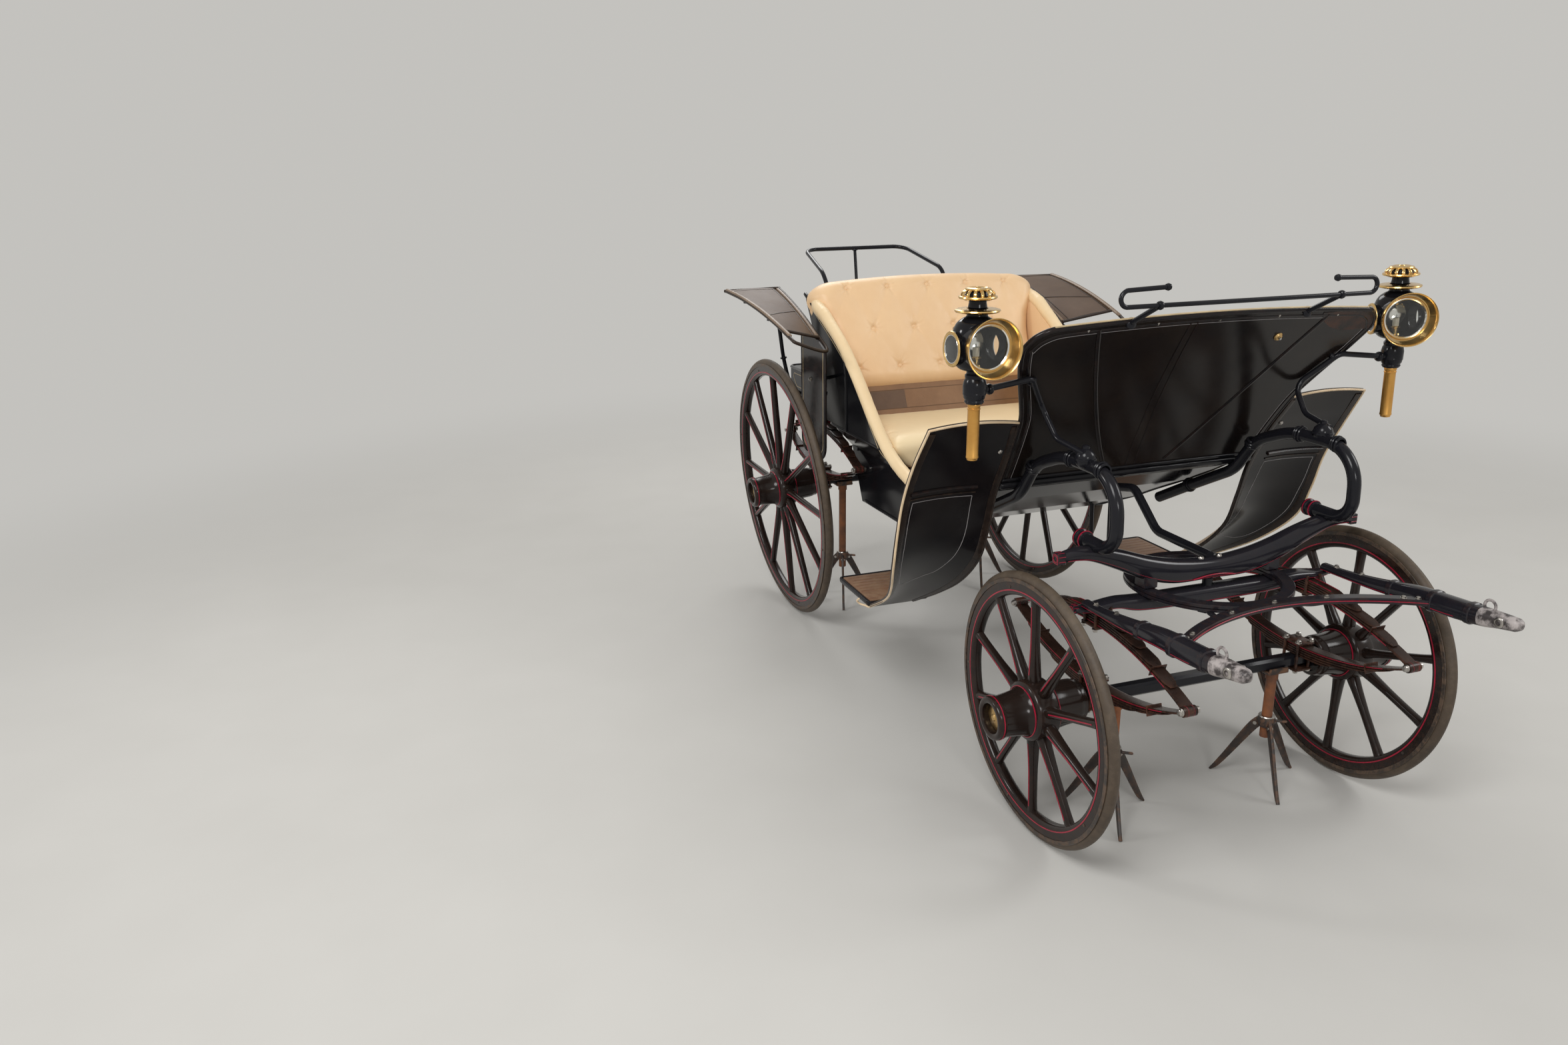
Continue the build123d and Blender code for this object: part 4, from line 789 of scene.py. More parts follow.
def elliptic_spring(x, y, foot_z, half_length, axle_depth, seat_drop):
    """Two opposed stacks of leaves from the clip below the axle to the seat above."""
    arc_r = (half_length**2 + SAG**2) / (2 * SAG)
    full = math.asin(half_length / arc_r)
    eye_z = foot_z + LEAF * LEAVES + SAG
    form = Form()
    for way in (1, -1):
        for step in range(LEAVES):
            radius = arc_r + LEAF * (step + 0.5)
            reach = full * (1 - LEAF_SHORTER * step)
            turns = [reach * (k / 20 - 1) for k in range(41)]
            height = lambda a: eye_z + way * (SAG - arc_r + radius * math.cos(a))
            path = [at(x, y + radius * math.sin(a), height(a)) for a in turns]
            sizes = []
            for a in turns:
                close = (reach - abs(a)) * radius / 26.0
                narrow = 1.0 if step == 0 else 0.5 + 0.5 * math.sqrt(max(0.0, min(1.0, close)))
                sizes.append((narrow, 1.0 if step == 0 else 0.25 + 0.75 * min(1.0, close * 0.8)))
            form.rod(path, oval(SPRING_WIDTH / 2, LEAF / 2 - 0.35, 16, 5.0), sizes, up=(0, 0, way))
            if step in (0, LEAVES - 1):
                for side in (-1, 1):
                    edge = [p + np.array((side * (SPRING_WIDTH / 2 - 5.5) * MM, 0, 0)) for p in path[4:-4]]
                    lift = (LEAF / 2 - 0.4) * MM
                    if step:
                        outward = [np.array((0, math.sin(a), way * math.cos(a))) for a in turns[4:-4]]
                        line = [p + out * lift for p, out in zip(edge, outward)]
                        form.rod(line, raised(2.4, 0.8), up=(0, 0, way), finish=1)
                    else:
                        rim = [p + np.array((side * 5.1 * MM, 0, 0)) for p in edge]
                        form.rod(rim, raised(2.2, 0.9), up=(side, 0, 0), finish=1)
        inner_z = eye_z + way * (SAG - 1.0)
        low, high = sorted((inner_z, inner_z - way * 7))
        form.block((x - 27, y - 36, low), (x + 27, y + 36, high), 0)
        outer_z = eye_z + way * (SAG + LEAF * LEAVES)
        end_z = outer_z + (seat_drop if way > 0 else -(axle_depth + 10))
        for sx in (-1, 1):
            for sy in (-1, 1):
                spot = (x + sx * BOLT_X, y + sy * BOLT_Y)
                form.rod([at(*spot, inner_z - way * 3), at(*spot, end_z)], circle(4.6, 12), finish=0)
                bolt_head(form, at(*spot, inner_z - way * 7), (0, 0, -way), 6.8, 9.0, 2)
                if way < 0:
                    bolt_head(form, at(*spot, end_z + 3), (0, 0, -1), 6.8, 9.0, 2)
        if way < 0:
            form.block((x - 30, y - 34, end_z), (x + 30, y + 34, end_z + 7), 0)
        for side in (-1, 1):
            a = full * CLIP_SHARE
            radius = arc_r + LEAF * 1.2
            middle = (y + side * radius * math.sin(a), eye_z + way * (SAG - arc_r + radius * math.cos(a)))
            tilt = np.array((0, side * way * math.sin(a), math.cos(a)))
            half_w, half_t = SPRING_WIDTH / 2 + 2.6, LEAF * 1.25
            corners = [(-half_w, -half_t), (half_w, -half_t), (half_w, half_t), (-half_w, half_t)]
            base = at(x, *middle)
            ring = [base + np.array((cx * MM, 0, 0)) + tilt * cz * MM for cx, cz in corners]
            along = np.array((0, math.cos(a), -side * way * math.sin(a)))
            form.rod(ring, oval(5.5, 1.6, 8, 4.0), up=along, loop=True)
    for side in (-1, 1):
        spot = at(x, y + side * half_length, eye_z)
        eye = [(0, -19), (12.4, -19), (13.6, -17.5), (13.6, 17.5), (12.4, 19), (0, 19)]
        form.turned(eye, spot, (1, 0, 0), 24)
        nut = [(0, 18), (10.5, 18), (10.5, 22), (8.5, 23.5), (8.5, 28), (5, 30.5), (0, 31)]
        for way in (-1, 1):
            form.turned(nut, spot, (way, 0, 0), 20, finish=2)
        for way in (-0.5, 0.5):
            line_spot = spot + np.array((way * 18 * MM, 0, 0))
            form.turned([(13.2, -0.6), (14.0, 0), (13.2, 0.6)], line_spot, (1, 0, 0), 24, loop=True, finish=1)
    return form


AXLE_HALF = 18.0
REAR_AXLE_Z = 544.13
FRONT_AXLE_Z = 389.95
SPRINGS = [
    ("rear", 420.0, 0.0, REAR_AXLE_Z + AXLE_HALF, 385.0, "carriage", 10.0),
    ("front", 352.0, FRONT_AXLE, FRONT_AXLE_Z + AXLE_HALF, 390.0, "fore_carriage", 14.0),
]
for end, x, y, foot_z, half_length, body, seat_drop in SPRINGS:
    spring = elliptic_spring(x, y, foot_z, half_length, 2 * AXLE_HALF, seat_drop)
    spring_finishes = [spring_paint, crimson, steel]
    both(f"{end}_leaf_spring", spring, spring_finishes, body, [f"{end}_spring_{{}}"])

# Carved beams of the fore-carriage

TRANSOM = [
    (0, 722, 29, 29), (120, 727, 29, 34), (215, 750, 28, 32), (300, 783, 26, 27), (380, 809, 23, 21),
    (430, 815, 20, 18), (487, 809, 14, 13),
]
BOLSTER = [(0, 648, 29, 24), (215, 650, 29, 22), (301, 660, 27, 14), (389, 655, 22, 9), (428, 658, 13, 8)]
RING_R = 225.0
RING_WIDTH = 34.0
BEAM_SQUARE = 2.7


def beam_rows(half):
    """Rows of x, z, half depth and half height from end to end."""
    return smooth([(-x, *rest) for x, *rest in half[:0:-1]] + half, 8)


def cross_beam(form, rows, y):
    path = [at(x, y, z) for x, z, _, _ in rows]
    sizes = [(depth, height) for _, _, depth, height in rows]
    form.rod(path, oval(1, 1, 28, BEAM_SQUARE), sizes, up=UP, tips=True)


def beam_line(form, rows, y, side, turn, width=2.6, finish=1):
    """A lining line on a cross beam at an angle below or above its middle."""
    out, rise = eased(math.cos(turn), BEAM_SQUARE), eased(math.sin(turn), BEAM_SQUARE)
    path = [at(x, y + side * depth * out, z + height * rise) for x, z, depth, height in rows]
    form.rod(path, raised(width, 0.8), up=(0, side * math.cos(turn), math.sin(turn)), finish=finish)


def ring_plate(form, low, thick, finish=0):
    inner, high = RING_R - RING_WIDTH, low + thick
    edge = [
        (inner, low + 1.2), (inner, high - 1.2), (inner + 1.5, high), (RING_R - 1.5, high),
        (RING_R, high - 1.2), (RING_R, low + 1.2), (RING_R - 1.5, low), (inner + 1.5, low),
    ]
    form.turned(edge, at(0, FRONT_AXLE, 0), sides=128, loop=True, finish=finish)


def square_end(form, x, y, z, half, reach=12):
    """A carved beam's square end with two lined squares on its faces."""
    form.block((x - reach, y - half, z - half), (x + reach, y + half, z + half), ease=1.5)
    line = raised(1.8, 0.7)
    for inset in (2.5, 6.5):
        h = half - inset
        square = [at(x + reach, y + dy, z + dz) for dy, dz in ((-h, -h), (h, -h), (h, h), (-h, h))]
        form.rod(rounded(square + square[:1], 1.0, 2)[:-1], line, up=(1, 0, 0), loop=True, finish=1)
    low_x, high_x = x - reach + 2, x + reach - 2
    for side in (-1, 1):
        face = y + side * half
        for dz in (-half * 0.45, half * 0.45):
            form.rod(line_of((low_x, face, z + dz), (high_x, face, z + dz)), line, up=(0, side, 0), finish=1)
    for dy in (-half * 0.45, half * 0.45):
        top = z + half
        form.rod(line_of((low_x, y + dy, top), (high_x, y + dy, top)), line, up=UP, finish=1)


rows = beam_rows(TRANSOM)
transom = Form()
cross_beam(transom, rows, FRONT_AXLE)
ring_plate(transom, 683, 10)
inner_rows = [row for row in rows if abs(row[0]) < 470]
for side in (-1, 1):
    beam_line(transom, inner_rows, FRONT_AXLE, side, -0.62, 1.4)
for way in (-1, 1):
    end = Form()
    square_end(end, 484, FRONT_AXLE, 809, 15)
    transom.join(end if way > 0 else end.mirrored())
    transom.block((way * 204 - 22, FRONT_AXLE - 25, 692), (way * 204 + 22, FRONT_AXLE + 25, 730), ease=5)
    for spot in (-17, 17):
        bolt_head(transom, at(way * 204, FRONT_AXLE + spot, 691), (0, 0, -1), 5.5, 1.5, 2)
    transom.turned(
        [(0, 0), (9, 0), (9, 3), (6.5, 7), (0, 8.5)], at(way * 30, FRONT_AXLE, 750), sides=16, finish=2
    )
front_line = ((-70, 27, 702), (-24, 32, 712), (24, 32, 712), (70, 27, 702))
front_line = [at(x, FRONT_AXLE - depth, z) for x, depth, z in front_line]
transom.rod(rounded(front_line, 30), raised(3.0, 1.2), up=(0, -1, 0), finish=1)
make("carved_transom", transom, [beam_varnish, crimson, steel], "carriage", ["transom"])

rows = beam_rows(BOLSTER)
bolster = Form()
cross_beam(bolster, rows, FRONT_AXLE)
ring_plate(bolster, 673, 8.6)
for side in (-1, 1):
    beam_line(bolster, rows[4:-4], FRONT_AXLE, side, -0.5, 1.4)
for way in (-1, 1):
    end = Form()
    square_end(end, 428, FRONT_AXLE, 659, 11, 9)
    bolster.join(end if way > 0 else end.mirrored())
bolster.turned(
    [(14.2, -1), (30, -1), (30, 3), (25, 5), (14.2, 5)], at(0, FRONT_AXLE, 612), loop=True, sides=32
)
make(
    "carved_bolster", bolster, [beam_varnish, crimson, steel], "fore_carriage", ["lower_bolster"],
)

# Shaft arms: y, z, half width, half height from the worn front end to the bolster.
# The worn tip reaches a little way into the painted stretch.
ARM_X = 400.0
ARM_SQUARE = 2.6
ARM_LINE_TURN = -0.5
WORN_UP_TO, KEPT_FROM = -2392, -2396
ARM = [
    (-2486, 724, 18, 16.5), (-2440, 719, 22, 20), (-2395, 713, 25, 24), (-2300, 706, 27, 26),
    (-2200, 701, 25, 24), (-2080, 686, 19, 18), (-1960, 677, 14, 12), (-1885, 675, 14, 11),
]


def shaft_arm():
    rows = smooth(ARM, 6)
    form = Form()
    worn = [row for row in rows if row[0] < WORN_UP_TO]
    kept = [row for row in rows if row[0] >= KEPT_FROM]
    section = oval(1, 1, 24, ARM_SQUARE)
    for part, tips, number in ((kept, False, 0), (worn, True, 1)):
        path = [at(ARM_X, y, z) for y, z, _, _ in part]
        form.rod(path, section, [(w, h) for _, _, w, h in part], up=UP, tips=tips, finish=number)
    c, s = math.cos(ARM_LINE_TURN), math.sin(ARM_LINE_TURN)
    out, rise = eased(c, ARM_SQUARE), eased(s, ARM_SQUARE)
    for side in (-1, 1):
        path = [at(ARM_X + side * w * out, y, z + h * rise) for y, z, w, h in kept[4:]]
        form.rod(path, raised(1.6, 0.8), up=(side * c, 0, s), finish=2)
    # clips round the arm
    for y in (-2366.0, -2258.0, -2128.0):
        z, w, h = (float(np.interp(y, rows[:, 0], rows[:, k])) for k in (1, 2, 3))
        path = [at(ARM_X, y + shift, z) for shift in (-9, -6, 6, 9)]
        form.rod(path, section, [(w + lift, h + lift) for lift in (0.5, 3.2, 3.2, 0.5)], up=UP)
    bush = [(7.2, 15), (13, 15), (13, 22), (10, 24), (7.2, 24)]
    for way in (-1, 1):
        form.turned(bush, at(ARM_X, -2454, 721), (way, 0, 0), 24, loop=True, finish=3)
    eye = at(ARM_X, -2409, 745)
    turns = np.linspace(0, 2 * math.pi, 33)[:-1]
    ring = [eye + np.array((0, 15 * math.cos(a), 15 * math.sin(a))) * MM for a in turns]
    form.rod(ring, circle(3.6, 10), up=(1, 0, 0), loop=True, finish=1)
    form.turned(
        [(0, 0), (9, 0), (9, 3), (5.5, 6), (5.5, 10), (0, 11)], at(ARM_X, -2409, 727), sides=20, finish=1
    )
    for y, z in ((-1930.0, 687), (-2020.0, 694)):
        bolt_head(form, at(ARM_X, y, z), (0, 0, 1), 6.0, 7.0, 3)
    return form


arm_finishes = [beam_varnish, bare_tip, crimson, steel]
both("shaft_arm", shaft_arm(), arm_finishes, "fore_carriage", ["futchell_{}"])


def bow_line():
    """A line and bolts on the curved bar between the arms, and two stays from it to the ring."""
    form = Form()
    inner, y_end, rise, spread = 372.0, -2238.0, 126.0, 378.0
    bar_y = lambda x: y_end + rise * (1 - (x / spread) ** 2)
    arc = [at(x, bar_y(x) - 30.0, 702) for x in np.linspace(-inner, inner, 49)]
    form.rod(arc, raised(2.0, 1.0), up=(0, -1, 0), finish=1)
    for x in (-360, -330, 0, 330, 360):
        bolt_head(form, at(x, bar_y(x) - 15, 709), (0, 0, 1), 6.0, 6.5, 2)
    for x in (-150, 150):
        y = bar_y(x) - 15
        stay = line_of((x, y, 694), (x, y + 30, 678), (x * 0.92, -2084, 668), (x * 0.9, -2052, 672))
        stay = rounded(stay, 24 * MM)
        form.rod(stay, oval(9, 4.5, 12, 3.0), up=UP, tips=True, finish=0)
        bolt_head(form, at(x, y, 709), (0, 0, 1), 6.0, 6.5, 2)
    return form


make("bow_bar_lining", bow_line(), [iron_paint, crimson, steel], "fore_carriage")

# Swan necks: ring collars where irons meet (y, z, axis), and scroll ends
SWAN_COLLARS = [
    (-1300, 772, (0, -0.88, 0.47)), (-1566, 972, (0, -0.3, 0.95)),
    (-1752, 1040, (0, -1, 0.02)), (-1890, 1040, (0, -1, 0)),
]


def swan_trim():
    form = Form()
    x = 383.0
    for y, z, axis in SWAN_COLLARS:
        for shift, wide in ((-9, 22.0), (0, 24.5), (9, 22.0)):
            collar = [(16, -4), (wide - 2, -4), (wide, -1.5), (wide, 1.5), (wide - 2, 4), (16, 4)]
            spot = at(x, y, z) + unit(np.array(axis, float)) * shift * MM
            form.turned(collar, spot, axis, 32, loop=True)
    spot = at(391, -1825, 1058)
    form.turned([(0, -30), (12, -27), (24, -15), (28.4, 0), (24, 15), (12, 27), (0, 30)], spot, sides=32)
    form.turned([(27, -3.2), (29.6, -2.6), (29.6, 2.6), (27, 3.2)], spot, sides=32, loop=True)
    form.turned([(0, 24), (10, 25), (10, 33), (7, 36), (0, 37)], spot, sides=20)
    tip = at(x, -1829, 838)
    scroll = [(19, -16), (23, -14), (23, -6), (20.5, -4), (20.5, 4), (24, 7), (24, 17), (21, 20), (0, 20.5)]
    form.turned(scroll, tip, (0, 1, 0), 32)
    for height in (-10, 12):
        line = [(22, height - 2), (24.7, height - 1.4), (24.7, height + 1.4), (22, height + 2)]
        form.turned(line, tip, (0, 1, 0), 32, loop=True, finish=1)
    return form


both("swan_neck_collars", swan_trim(), [iron_paint, crimson, steel], "carriage")

# Mud wings: y, z, inner x, outer x, hollow

WING = [
    (-1618, 1118, 470, 742, 0), (-1545, 1000, 455, 752, 6), (-1482, 880, 452, 753, 14),
    (-1448, 765, 452, 752, 30), (-1405, 655, 454, 742, 45), (-1300, 548, 456, 700, 40),
    (-1160, 458, 462, 655, 22), (-985, 365, 470, 633, 0),
]
WING_ROWS = smooth(WING, 10)
WING_CROWN = 10.0
WING_PANEL = [
    (873, 0.88), (800, 0.885), (728, 0.88), (660, 0.88), (600, 0.88), (545, 0.86), (522, 0.78), (522, 0.62),
    (536, 0.46), (560, 0.34), (620, 0.25), (680, 0.22), (743, 0.21), (810, 0.225), (873, 0.24),
]


def wing_at(z, share, lift=0.0):
    """A place on the wing's front face at a height, from its inner (0) to its outer edge (1)."""
    order = WING_ROWS[::-1]
    y, x_in, x_out, hollow = (float(np.interp(z, order[:, 1], order[:, k])) for k in (0, 2, 3, 4))
    low = float(np.interp(z - 4, order[:, 1], order[:, 0]))
    high = float(np.interp(z + 4, order[:, 1], order[:, 0]))
    out = unit(np.array((-8.0, high - low)))
    shift = hollow * (1 - (2 * share - 1) ** 2) - lift
    return at(x_in + (x_out - x_in) * share, y - out[0] * shift, z - out[1] * shift)


def wing_face(z, share):
    """The front face's normal."""
    a, b = wing_at(z - 3, share), wing_at(z + 3, share)
    c, d = wing_at(z, share - 0.02), wing_at(z, share + 0.02)
    normal = unit(np.cross(b - a, d - c))
    return normal if normal[1] < 0 else -normal


def wing_strip(form, places, width, height, finish):
    """A raised strip through (z, share) places on the front face."""
    path = [wing_at(z, share) for z, share in places]
    ups = np.array([wing_face(z, share) for z, share in places])
    form.rod(path, raised(width, height, 1.5), up=ups, finish=finish)


def mud_wing():
    form = Form()
    heights = [row[1] for row in WING_ROWS]
    grid = np.array([[wing_at(z, share) for share in np.linspace(0, 1, 25)] for z in heights])
    for row, z in zip(grid, heights):
        row[:, 2] += (1 - np.linspace(-1, 1, 25) ** 2) * max(0.0, (z - 1050) / 68) * WING_CROWN * MM
    form.sheet(grid, 9.0, front=0, back=2, edge=1)
    # dark brown border along both long edges
    for share, width in ((0.955, 25.0), (0.035, 18.0)):
        wing_strip(form, [(z, share) for z in heights[1:-1]], width, 1.6, 1)
    # cream piping on the outer edge, with its hook at the step
    edge = [wing_at(z, 1.0) for z in heights]
    hook = line_of((640, -968, 366), (652, -952, 368), (664, -950, 380), (662, -962, 392))
    hook = smooth([edge[-3], edge[-1], *hook], 5)[6:]
    form.rod(np.vstack([edge, hook]), circle(3.6, 10), tips=True, finish=3)
    crown = lambda share: np.array((0, 0, (1 - (2 * share - 1) ** 2) * WING_CROWN * MM))
    top = [wing_at(heights[0], share) + crown(share) for share in np.linspace(0, 1, 24)]
    form.rod(top, circle(3.4, 10), tips=True, finish=3)
    inner = [wing_at(z, 0.0) for z in heights]
    form.rod(inner, circle(3.2, 10), tips=True, finish=1)
    # two raised bars, the stitched panel below them and the stud
    for z, width, height, number in ((905, 11.0, 7.0, 0), (886, 5.0, 3.0, 1)):
        wing_strip(form, [(z, share) for share in np.linspace(0.22, 0.93, 20)], width, height, number)
    wing_strip(form, smooth(WING_PANEL, 5), 1.9, 0.8, 4)
    wing_strip(form, [(873, share) for share in np.linspace(0.24, 0.88, 20)], 1.9, 0.8, 4)
    spot = wing_at(1024, 0.11)
    form.turned([(0, -1), (7, -1), (7, 2), (4.5, 5), (0, 6)], spot, wing_face(1024, 0.11), 16, finish=5)
    # iron rib behind the sheet
    rib = [wing_at(z, 0.5, -11.0) for z in heights[6:-2]]
    form.rod(rib, oval(9, 4, 12, 3.0), up=np.array([wing_face(z, 0.5) for z in heights[6:-2]]), finish=6)
    return form


wing_finishes = [patent, edge_leather, lining_tan, pale_piping, grey_stitch, steel, iron_paint]
both("mud_wing", mud_wing(), wing_finishes, "carriage", ["wing_{}"])

# Rear mudguards: an iron frame with a leather panel, open at the front behind its bar

GUARD_INNER_X = 534.0
GUARD_FRONT = ((534.0, -340.0), (700.0, -450.0))
GUARD_BACK = ((534.0, 205.0), (760.0, 205.0))
GUARD_HEIGHTS = ((1135.0, 1245.0, 1318.0), (1190.0, 1275.0, 1316.0))
GUARD_CROWN = 5.0
GUARD_FRAME = [
    (0.0, 0.0), (0.88, 0.0), (1.0, 0.055), (1.0, 0.25), (1.0, 0.5), (1.0, 0.75), (1.0, 0.97),
    (0.97, 1.0), (0.5, 1.0), (0.03, 1.0), (0.0, 0.97), (0.0, 0.75), (0.0, 0.5), (0.0, 0.25),
]


def guard_z(heights, along):
    """Height on the curve through an edge's front, middle and back."""
    low, middle, high = heights
    front, back = (1 - along) * (1 - 2 * along), along * (2 * along - 1)
    return low * front + middle * 4 * along * (1 - along) + high * back


def guard_crown(across):
    return GUARD_CROWN * math.sin(math.pi * across) ** 0.7 if 0 < across < 1 else 0.0


def guard_at(across, along, lift=0.0):
    """A place on the mudguard's top: across from inside to outside, along from front to back."""
    edges = []
    for front, back, heights in zip(GUARD_FRONT, GUARD_BACK, GUARD_HEIGHTS):
        x, y = (a + (b - a) * along for a, b in zip(front, back))
        edges.append(np.array((x, y, guard_z(heights, along) + 9)))
    spot = edges[0] * (1 - across) + edges[1] * across
    return at(spot[0], spot[1], spot[2] + lift)


def mudguard():
    form = Form()
    # leather panel with a soft crown and a bevel along its inner side
    rows = []
    for along in np.linspace(0.165, 0.995, 41):
        row = []
        for across in np.linspace(0.0, 1.0, 25):
            bevel = -9.0 * max(0.0, 1 - across / 0.13)
            row.append(guard_at(across, along, guard_crown(across) + bevel - 3))
        rows.append(row)
    form.sheet(rows, -6.0, front=0, back=2, edge=1)
    # iron frame round the whole board, with a bar where the panel starts
    ring = smooth([guard_at(a, b, -4) for a, b in GUARD_FRAME], 6, loop=True)
    form.rod(ring, circle(6.5, 12), loop=True, finish=1)
    cross = [guard_at(a, 0.155, -2) for a in np.linspace(0.01, 0.99, 12)]
    form.rod(cross, circle(6.0, 12), finish=1)
    # stuffed pale rim outside, thin dark seam inside it, seam across and bevel crease
    rim = [guard_at(0.985, b, 1.5) for b in np.linspace(0.07, 0.985, 40)]
    form.rod(rim, oval(8.5, 5.5, 14), tips=True, up=UP, finish=3)
    inner_rim = [guard_at(0.03, b, -4) for b in np.linspace(0.18, 0.98, 30)]
    form.rod(inner_rim, oval(7.5, 4.5, 14), tips=True, up=UP, finish=3)
    for across, width in ((0.915, 5.0), (0.135, 3.5)):
        seam = [guard_at(across, b, guard_crown(across) - 3) for b in np.linspace(0.17, 0.99, 40)]
        form.rod(seam, raised(width, 1.0), up=UP, finish=1)
    for start, slant, width, height in ((0.53, 0.15, 5.5, 1.4), (0.955, 0.0, 4.0, 1.0)):
        seam = [guard_at(a, start - slant * a, guard_crown(a) - 3) for a in np.linspace(0.14, 0.91, 24)]
        form.rod(seam, raised(width, height), up=UP, finish=1)
    # two iron battens under the panel
    for along in (0.35, 0.7):
        batten = [guard_at(a, along, -12) for a in np.linspace(0.0, 1.0, 14)]
        form.rod(batten, oval(11, 3.5, 12, 3.5), up=UP, finish=4)
    # dress guard: patent sheet with a welted edge and an inset line on both faces
    front, back, low = -334.0, -85.0, 715.0
    x = GUARD_INNER_X + 3.5

    def top_z(y):
        length = GUARD_BACK[0][1] - GUARD_FRONT[0][1]
        return guard_z(GUARD_HEIGHTS[0], (y - GUARD_FRONT[0][1]) / length) + 2

    def outline(inset):
        a, b, c = front + inset, back - inset, low + inset
        ease = 55.0 - inset * 0.6
        bend = [(ease * (1 - math.cos(t)), ease * (1 - math.sin(t))) for t in np.linspace(0.2, 1.37, 7)]
        corners = [(a, top_z(a) - inset), (a, c + ease)]
        corners += [(a + near, c + far) for near, far in bend]
        corners += [(a + ease, c), (b - ease, c)]
        corners += [(b - far, c + near) for near, far in bend]
        corners += [(b, c + ease), (b, top_z(b) - inset)]
        return corners

    edge = outline(0)
    count = len(edge)
    points = [at(x + side * 3.4, y, z) for side in (-1, 1) for y, z in edge]
    faces = [tuple(range(count))[::-1], tuple(range(count, 2 * count))]
    faces += [(i, (i + 1) % count, count + (i + 1) % count, count + i) for i in range(count)]
    form.add(points, faces, 2)
    form.rod([at(x, y, z) for y, z in edge], circle(5.2, 10), tips=True, finish=2)
    for side in (-1, 1):
        inset = [at(x + side * 3.4, y, z) for y, z in outline(17)]
        form.rod(inset, raised(2.6, 0.9), up=(side, 0, 0), finish=5)
    # irons from the body
    stay = [(380, 885), (450, 892), (512, 925), (546, 1040), (566, 1180), (592, 1300)]
    form.rod(smooth([at(px, 110, z) for px, z in stay], 8), circle(8.0, 14), finish=4)
    clip = [(8, -3), (13, -3), (14, 0), (13, 3), (8, 3)]
    form.turned(clip, at(548, 110, 1050), (0.17, 0, 1), 24, loop=True, finish=4)
    form.rod([at(463, -185, 1010), at(536, -185, 1010)], circle(7.0, 14), finish=4)
    form.turned([(7, -5), (15, -4), (15, 0), (7, 0)], at(533, -185, 1010), (1, 0, 0), 24, loop=True, finish=4)
    bolt_head(form, at(541, -185, 1010), (1, 0, 0), 7.0, 7.0, 6)
    bolt_head(form, at(592, 110, 1304), (0, 0, -1), 6.0, 7.0, 6)
    return form


guard_finishes = [guard_leather, guard_edge, patent, guard_rim, iron_paint, gold_line, steel]
both("mudguard_leather", mudguard(), guard_finishes, "carriage", ["mudguard_{}"])

# Dash: edging, ribs and seams that follow the leaning board

DASH_FOOT = (-1478.0, 902.0)
DASH_HEAD = (-1828.0, 1415.0)
DASH_HOLLOW = 48.0
DASH_HALF_THICK = 7.0


def dash_at(x, z, lift=0.0, side=-1):
    """A place on the leaning board's front face, or with side 1 on its back."""
    share = (z - DASH_FOOT[1]) / (DASH_HEAD[1] - DASH_FOOT[1])
    y = DASH_FOOT[0] + (DASH_HEAD[0] - DASH_FOOT[0]) * share + DASH_HOLLOW * share * (1 - share)
    return at(x, y + side * (DASH_HALF_THICK + lift), z)


DASH_UP = unit(np.array((0.0, -1.0, -0.6)))
# Half outline of the board: x, z
DASH_EDGE = [
    (441, 912), (443, 960), (447, 1010), (454, 1070), (465, 1128), (487, 1178), (513, 1228), (541, 1284),
    (561, 1338), (558, 1359), (545, 1378), (526, 1390), (501, 1398),
]
DASH_TOP_X, DASH_TOP_Z = DASH_EDGE[-1]
DASH_CROWN = 17.0


def dash_top(x):
    return DASH_TOP_Z + DASH_CROWN * (1 - (x / DASH_TOP_X) ** 2)


def dash_outline(inset):
    """The board's outline drawn in by an inset, lowered too where it rounds its upper corners."""
    half = [(x - inset, z - inset * (z > 1340)) for x, z in DASH_EDGE]
    top = [(x, dash_top(x) - inset) for x in np.linspace(DASH_TOP_X - inset, 0, 12)[1:]]
    right = half + top
    return right + [(-x, z) for x, z in reversed(right[:-1])]


